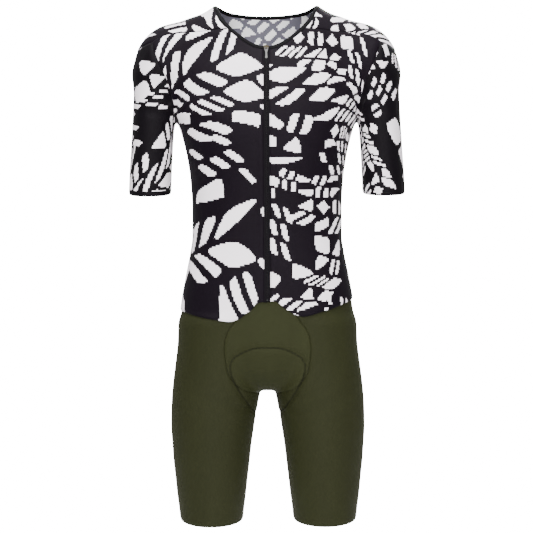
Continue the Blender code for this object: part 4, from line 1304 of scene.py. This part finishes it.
ALLOWANCE = [(-2.8, -1.95), (-2.8, -1.3), (-2.4, -1.15), (2.4, -1.15), (2.8, -1.3),
             (2.8, -1.95)]
BINDING = [(-0.75, -0.3), (-0.6, 0.9), (0.1, 1.42), (2.6, 1.55), (4.7, 1.35), (5.6, 0.75),
           (5.85, 0.0), (5.6, -0.8), (4.7, -1.35), (3.0, -1.6), (0.8, -1.45), (-0.4, -1.1)]
THREAD_INK, THREAD_SHINE = (0.0012, 0.0011, 0.0014), (0.003, 0.0028, 0.0034)
SEAM_STITCH = {"pitch": 2.4, "length": 1.7, "width": 0.4, "high": 0.25, "slant": 3.0}


def seam_pieces():
    """Overlocked seam allowances behind the armhole, shoulder, side, panel, inside leg and seat
    seams, and the stitches that cross them.
    """
    ink = flat_seam("allowance of the top", (0.006, 0.0055, 0.0065), (0.05, 0.048, 0.052))
    olive = flat_seam("allowance of the shorts", (0.008, 0.0085, 0.004), (0.03, 0.032, 0.015))
    rows = leg_grid(SHORTS)
    top_lines, low_lines = [], []

    def seam(name, path, lines, closed=False):
        level, finish, slot = ((TOP_OUTSIDE, ink, "black_trim") if lines is top_lines
                               else (SHORTS_OUTSIDE, olive, "olive_knit"))
        placed(strip("seam_" + name, path, ALLOWANCE, level - CLOTH, finish, closed),
               slot=slot)
        lines.append(np.vstack([path, path[:1]]) if closed else path)

    for word, edges, side in SIDES:
        loop = np.vstack([edges["armhole front"][::-1], edges["armhole top"][1:],
                          edges["armhole back"][1:-1]])
        seam("armhole_" + word, loop, top_lines, closed=True)
        seam("shoulder_" + word, edges["shoulder"][1:-1], top_lines)
        seam("side_" + word, edges["side"][2:-1], top_lines)
        seam("panel_" + word, SHORTS["front"][:-2] * [side, 1, 1], low_lines)
        seam("inner_" + word, rows[CELLS["seat"] + 1:, 0] * [side, 1, 1], low_lines)
    seam("seat", SHORTS["back"][:CELLS["seat"] - CELLS["tip"] + 1], low_lines)
    grey = thread("seam thread of the top", (0.006, 0.0055, 0.007), (0.02, 0.019, 0.021))
    green = thread("seam thread of the shorts", (0.008, 0.0085, 0.004), (0.017, 0.018, 0.008))
    placed(stitches("stitches_seams_top", top_lines, base=TOP_OUTSIDE - SEAM_DIP, finish=grey,
                    **SEAM_STITCH), slot="black_trim")
    placed(stitches("stitches_seams_shorts", low_lines, base=SHORTS_OUTSIDE - SEAM_DIP,
                    finish=green, **SEAM_STITCH), slot="olive_knit")


def stitch_pieces():
    """The rows of stitches that hold the tapes and the pad."""
    black = thread("black thread", THREAD_INK, THREAD_SHINE)
    line = settled(seen([(ZIP_HALF + 2, z) for z in np.linspace(-64, -514, 60)], -1))
    rows = [line * [side, 1, 1] for side in (1, -1)]
    placed(stitches("stitches_zip", rows, 2.6, 2.0, 0.36, 0.26, TOP_OUTSIDE, black),
           slot="black_trim")
    olive = thread("pad thread", (0.0046, 0.0052, 0.0018), (0.0078, 0.0087, 0.0032))
    outline = evened_straight(pad_outline(), 500)
    inward = PAD_GRID[0].reshape(-1, 3).mean(axis=0) - outline
    left = np.cross(outward(outline), np.gradient(outline, axis=0))
    turn = np.sign((left * inward).sum())
    rows = [beside(outline, turn * (PAD_SEWN + off))[1:-1] for off in (-0.9, 0.9)]
    rows = [np.vstack([row, row[:1]]) for row in rows]
    placed(stitches("stitches_pad", rows, 2.5, 2.1, 0.8, 0.5,
                    SHORTS_OUTSIDE - PAD_SUNK + 0.7, olive), slot="olive_knit")


def binding_piece():
    halves = [np.vstack([edges["neck front"], edges["neck side"][1:],
                         edges["neck back"][::-1][1:]]) for edges in (LEFT, RIGHT)]
    path = np.vstack([halves[0], halves[1][::-1][1:]])
    cloth = woven("neck binding", (0.0022, 0.002, 0.0024), (0.0055, 0.005, 0.006), 0.0009)
    piece = strip("neck_binding_cloth", path, BINDING, TOP_OUTSIDE - 1.2, cloth,
                  lifted=False, soft=16)
    worn(piece, "neck_binding", "black_trim", flat=(0.59, 0.011))
    black = thread("binding thread", THREAD_INK, THREAD_SHINE)
    row = beside(path[2:-2], 1.1)
    placed(stitches("stitches_binding", [row], 2.6, 1.9, 0.42, 0.28, TOP_OUTSIDE + 0.15, black),
           slot="black_trim")


ZIP_LEVEL = TOP_OUTSIDE - 0.15
TOOTH = [(-1.9, -0.1), (-1.75, 0.42), (-0.6, 0.62), (0.35, 0.55), (0.6, 0.2), (0.45, -0.1)]
TOOTH_RINGS = ((-0.34, 0.8), (-0.2, 1.0), (0.2, 1.0), (0.34, 0.8))
TOOTH_PITCH = 1.3
TEETH_TOP, TEETH_FOOT = -60.4, -515.5


def zip_tapes():
    tape = woven("zip tape", (0.0018, 0.0012, 0.002), (0.0042, 0.0034, 0.0046), 0.0012)
    for word, edges, side in SIDES:
        upper, lower = edges["zip upper"], edges["zip lower"]
        top = settled([(side * ZIP_HALF, -70, ZIP_TOP)])
        outer = np.vstack([top, upper[:1] * 0.5 + upper[1:2] * 0.5, upper[1:], lower[1:]])
        inner = outer * [0, 1, 1]
        inner[:, 0] = side * (0.08 + 1.2 * np.clip((outer[:, 2] + 60) / 4, 0, 1))
        share = np.linspace(0, 1, 7)[None, :, None]
        grid = settled(inner[:, None] * (1 - share) + outer[:, None] * share)
        cloth = Cloth()
        cloth.add(grid, side * run_along(grid, 1), run_along(grid, 0))
        piece = shell("zip_tape_cloth_" + word, cloth, ZIP_LEVEL, [tape, tape, tape],
                      thick=0.7, gap=0.0, dips=False)
        worn(piece, "zip_tape_" + word, "black_trim", flat=(0.0125, 0.47), area=0.0026)


def zip_teeth():
    plastic = speckled("zip teeth", (0.003, 0.0024, 0.0032), (0.008, 0.0068, 0.0084), 0.5,
                       900.0, 0.00008)
    heights = np.arange(TEETH_TOP, TEETH_FOOT, -TOOTH_PITCH / 2)
    middle = seen([(0, height) for height in heights], -1)
    points, faces = [], []
    for i, (at, out, down) in enumerate(zip(middle, outward(middle),
                                            unit(np.gradient(middle, axis=0)))):
        side = 1 if i % 2 else -1
        tooth = tube(len(points), len(TOOTH_RINGS), len(TOOTH))
        faces += tooth if side > 0 else [face[::-1] for face in tooth]
        for end, size in TOOTH_RINGS:
            for x, h in TOOTH:
                points.append(at + np.array([side * x, 0, 0]) * (0.9 + 0.1 * size)
                              + out * (ZIP_LEVEL + h * size) + down * end)
    placed(made("zip_teeth", np.array(points), faces, [plastic]), slot="black_trim")


def stop_piece():
    """The stop at the zip's foot, a small pressed block."""
    dull = speckled("zip stop", (0.015, 0.015, 0.016), (0.04, 0.04, 0.042), 0.45, 800.0, 0.0001,
                    metal=1.0)
    block = [(-1.7, -1.3), (1.7, -1.3), (1.7, 1.3), (-1.7, 1.3)]
    corners, faces = bevelled(block, -0.65, 0.65, 1, 0.45)
    at = seen([(0.0, -514.5)], -1)
    points = np.array(corners) + at + outward(at) * (TOP_OUTSIDE + 0.35)
    placed(made("zip_stop", points, faces, [dull]), slot="slider_metal")


def pad_piece():
    foam, net, shader = material("brushed pad", (0.03, 0.031, 0.033), 0.92, sheen=0.25)
    across, down = net.cloth()
    fuzz = net.noise(net.place(), 600.0, 3.0)
    dots = ((across * (2 * pi / 0.005)).sin() * (down * (2 * pi / 0.005)).sin()) > 0.55
    net.finish(shader, (fuzz * 0.8 + dots * 0.3).least(1.0), (0.02, 0.021, 0.023),
               (0.05, 0.051, 0.054), fuzz - 0.5 * dots, 0.0005, 0.6)
    grid, places, half = PAD_GRID
    rows, columns = grid.shape[:2]
    across = np.linspace(-1, 1, columns)[None, :] * np.ones((rows, 1))
    along = (2 * places / places[-1] - 1)[:, None] * np.ones((1, columns))
    reach = across * half[:, None]
    crown = (1 - np.abs(across) ** 4) * (1 - np.abs(along) ** 6)
    one, two = MIDDLE_CHANNEL, SIDE_CHANNELS
    beside_it = np.abs(reach) - two["away"] - two["splay"] * along
    groove = (np.exp(-(reach / one["width"]) ** 2)
              * np.clip(1.1 - np.abs(along + 0.1) * 1.3, 0, 1) * one["depth"]
              + np.exp(-(beside_it / two["width"]) ** 2) * two["depth"]
              * np.clip(1.2 - np.abs(along), 0, 1))
    thick = PAD_EDGE - 0.9 + (PAD_RISE + 0.9) * crown - groove * crown
    normals = outward(grid.reshape(-1, 3))
    top = grid.reshape(-1, 3) + normals * (SHORTS_INSIDE - PAD_GAP)
    low = top - normals * thick.reshape(-1, 1)
    faces = [tuple(q) for q in grid_faces(grid).tolist()]
    chart = np.stack([run_along(grid, 1).reshape(-1), run_along(grid, 0).reshape(-1)], axis=1)
    charts = [[tuple(chart[i]) for i in face] for face in faces]
    points, faces, charts, _ = doubled(top, low, faces, charts, open_edges(faces))
    piece = made("pad_foam", points, faces, [foam], charts)
    placed(piece, "pad", slot="pad_fabric")


def slider_frame():
    """The slider's middle on the figure, and the directions across, down and out of it."""
    middle = seen([(0, SLIDER_HEIGHT)], -1)
    out = outward(middle)[0]
    across = np.array([1, 0, 0])
    return middle[0], np.array([across, np.cross(across, out), out])


def bevelled(outline, low, high, axis, edge_width):
    """Points and faces of an outline made thick along an axis, with rounded edges."""
    shape = bmesh.new()
    rings = [[shape.verts.new(np.insert(corner, axis, level).tolist()) for corner in
              np.array(outline, float)] for level in (low, high)]
    shape.faces.new(rings[0])
    shape.faces.new(rings[1][::-1])
    for i in range(len(outline)):
        shape.faces.new((rings[0][i - 1], rings[1][i - 1], rings[1][i], rings[0][i]))
    bmesh.ops.recalc_face_normals(shape, faces=shape.faces)
    bmesh.ops.bevel(shape, geom=shape.edges[:], offset=edge_width, segments=3,
                    affect="EDGES", clamp_overlap=True)
    shape.verts.index_update()
    points = [tuple(v.co) for v in shape.verts]
    faces = [tuple(v.index for v in face.verts) for face in shape.faces]
    shape.free()
    return points, faces


def slider_piece():
    """The slider: two plates on a post, side flanges and the arch that the pull hangs from."""
    top, foot, half, cut = 5.1, 3.8, 4.3, 1.1
    edge_line = [(top - cut, -half), (top, cut - half), (top - 0.15, -1), (foot, 2),
                 (foot, half - cut), (foot - cut, half)]
    outline = [(-x, y) for x, y in edge_line[:1]] + edge_line
    outline += [(-x, y) for x, y in edge_line[:0:-1]]
    low, high = SLIDER_FACE
    floor = high - 0.4
    under, over = high + 2.1, high + 3.1
    arch_half = [(1.9, under), (2.4, under - 0.5), (2.5, floor), (3.8, floor),
                 (3.7, under - 0.2), (2.6, over)]
    arch = [(-x, z) for x, z in arch_half[3::-1]] + arch_half
    arch += [(-x, z) for x, z in arch_half[:3:-1]]
    shapes = [
        bevelled(outline, low, high, 2, 0.42),
        bevelled(outline, *SLIDER_REVERSE, 2, 0.35),
        bevelled([(-3.4, 0.2), (-1.4, 0.2), (-1.4, 3.0), (-3.4, 3.0)], -0.8, 0.8, 0, 0.15),
        bevelled(arch, -1.15, 1.15, 0, 0.3),
    ]
    flange = [(5.08, -2.9), (5.0, -1.1), (3.78, 2.0), (3.78, 3.0), (2.9, 3.0), (3.0, 1.8),
              (4.1, -1.2), (4.2, -2.9)]
    for side in (1, -1):
        rim = [(side * x, y) for x, y in flange[::side]]
        shapes.append(bevelled(rim, high - 0.3, high + 0.28, 2, 0.2))
    middle, turn = slider_frame()
    points, faces = [], []
    for corners, sides in shapes:
        faces += [tuple(i + len(points) for i in face) for face in sides]
        points += [middle + np.array(c) @ turn for c in corners]
    found = metal("slider metal", (0.055, 0.046, 0.03), (0.13, 0.11, 0.075), 0.5)
    piece = made("slider_body", np.array(points), faces, [found])
    placed(piece, "zip_slider", slot="slider_metal")


PULL_LENGTH = 21
PULL_SECTION = [(0, 0.28), (0.25, 0.3), (0.5, 0.42), (0.62, 0.55), (0.8, 0.55), (0.93, 0.42),
                (1, 0.2)]


def pull_piece():
    """The pull: a ring on the slider's arch that runs down into a narrow tab."""
    middle, turn = slider_frame()
    axle = middle + np.array([0, 1.4, SLIDER_FACE[1] + 1.05]) @ turn
    down = np.concatenate([np.linspace(-0.55, 0.55, 5), np.linspace(0.55, 3.6, 9)[1:],
                           np.linspace(3.6, PULL_LENGTH, 48)[1:]])
    half, lean = PULL.at(down)
    end = np.clip((PULL_LENGTH - down) / 1.4, 0, 1)
    half = half * np.sqrt(1 - (1 - end) ** 2 * 0.5)
    shares, level = np.array([(-x, z) for x, z in PULL_SECTION[:0:-1]] + PULL_SECTION).T
    points, back = [], []
    for y, h, drop in zip(down, half, lean):
        panel = np.clip(min(y - 5.0, 18.6 - y) / 0.8, 0, 1)
        high = level * panel + (1 - panel) * np.maximum(level, 0.5 * (np.abs(shares) < 0.9))
        end_round = min(1, 0.5 + 0.7 * min(y + 0.55, PULL_LENGTH - y))
        for share, rise in zip(shares, high):
            points.append((share * h, y, rise * end_round - drop))
            back.append((share * h, y, -min(rise, 0.5) * end_round - drop))
    columns = len(shares)
    faces = []
    for r in range(len(down) - 1):
        for c in range(columns - 1):
            hole = 0.5 < down[r] < 3.5 and abs(shares[c] + shares[c + 1]) < 0.99
            if not hole:
                a = r * columns + c
                faces.append((a, a + columns, a + columns + 1, a + 1))
    count = len(points)
    sides = [(b, a, a + count, b + count) for a, b, *_ in open_edges(faces)]
    whole = faces + [tuple(i + count for i in face[::-1]) for face in faces] + sides
    found = metal("pull metal", (0.075, 0.074, 0.073), (0.15, 0.148, 0.146), 0.52)
    piece = facing_out(made("pull_shape", axle + np.array(points + back) @ turn, whole, [found]))
    placed(piece, "zip_pull", body="pull_tab", slot="pull_metal")


# Each lamp's place, size, power and what it points at.
LAMPS = {
    "key": ((-1.1, -2.3, 1.4), 1.0, 108, (0, 0, -0.35)),
    "fill": ((1.2, -2.5, 0.5), 1.2, 66, (0, 0, -0.45)),
    "low": ((0.0, -2.6, -0.9), 1.2, 44, (0, 0, -0.66)),
    "above": ((0.0, -0.5, 1.3), 0.9, 44, (0, 0, -0.2)),
    "rear": ((0.4, 2.4, 0.9), 1.6, 104, (0, 0, -0.4)),
}
FLOOR_RADIUS, FLOOR_HEIGHT, FLOOR_SIDES = 1700, -1250, 96
SKY_LEVEL, SKY_RISE, WHITE = 0.36, 0.8, 18.0    # light from the sides and above, plain white
CAMERA_AWAY = 3.0
CAMERA_ACROSS, CAMERA_HEIGHT, CAMERA_TILT = -0.0013, -0.4535, 0.25
VIEW_WIDTH = 0.9967        # what the photograph's width shows, in metres
SENSOR = 36


def backdrop():
    """Soft light from above, and plain white for the camera itself."""
    world = bpy.data.worlds.new("studio")
    bpy.context.scene.world = world
    world.use_nodes = True
    net = Net(world.node_tree)
    lit = world.node_tree.nodes["Background"]
    lit.inputs["Color"].default_value = (1, 1, 1, 1)
    _, _, up = net.split(net.out("ShaderNodeTexCoord", output="Generated"))
    net.put(SKY_LEVEL + SKY_RISE * up.most(0.0), lit.inputs["Strength"])
    bright = net.out("ShaderNodeBackground", {"Color": (1, 1, 1, 1), "Strength": WHITE})
    by_camera = net.out("ShaderNodeLightPath", output="Is Camera Ray")
    mixed = net.out("ShaderNodeMixShader", {0: by_camera, 1: Value(net, lit.outputs[0]),
                                            2: bright})
    net.put(mixed, world.node_tree.nodes["World Output"].inputs[0])


def studio():
    """A pale floor under the suit, soft lights and the camera."""
    floor = speckled("pale floor", (0.85, 0.85, 0.85), (0.88, 0.88, 0.88), 0.9, 3.0)
    turn = np.linspace(0, 2 * pi, FLOOR_SIDES + 1)[:-1]
    ring = np.stack([FLOOR_RADIUS * np.cos(turn), FLOOR_RADIUS * np.sin(turn),
                     np.full(FLOOR_SIDES, FLOOR_HEIGHT)], axis=1)
    made("floor", ring, [tuple(range(FLOOR_SIDES))], [floor])
    backdrop()
    for name, (at, size, power, aim) in LAMPS.items():
        lamp = bpy.data.lights.new(name, "AREA")
        lamp.shape, lamp.size, lamp.energy = "SQUARE", size, power
        light = bpy.data.objects.new(name, lamp)
        light.location = at
        run = np.array(aim) - np.array(at)
        tilt = np.arctan2(run[2], np.hypot(run[0], run[1]))
        light.rotation_euler = (pi / 2 + tilt, 0, np.arctan2(run[1], run[0]) - pi / 2)
        bpy.context.collection.objects.link(light)
    lens = bpy.data.cameras.new("camera")
    lens.sensor_width = SENSOR
    lens.lens = SENSOR * CAMERA_AWAY / VIEW_WIDTH
    camera = bpy.data.objects.new("camera", lens)
    camera.location = (CAMERA_ACROSS, -CAMERA_AWAY, CAMERA_HEIGHT)
    camera.rotation_mode = "XYZ"
    camera.rotation_euler = (pi / 2, radians(CAMERA_TILT), 0)
    bpy.context.collection.objects.link(camera)
    bpy.context.scene.camera = camera


def main():
    top_pieces()
    shorts_pieces()
    seam_pieces()
    stitch_pieces()
    binding_piece()
    zip_tapes()
    zip_teeth()
    stop_piece()
    pad_piece()
    slider_piece()
    pull_piece()
    studio()


main()
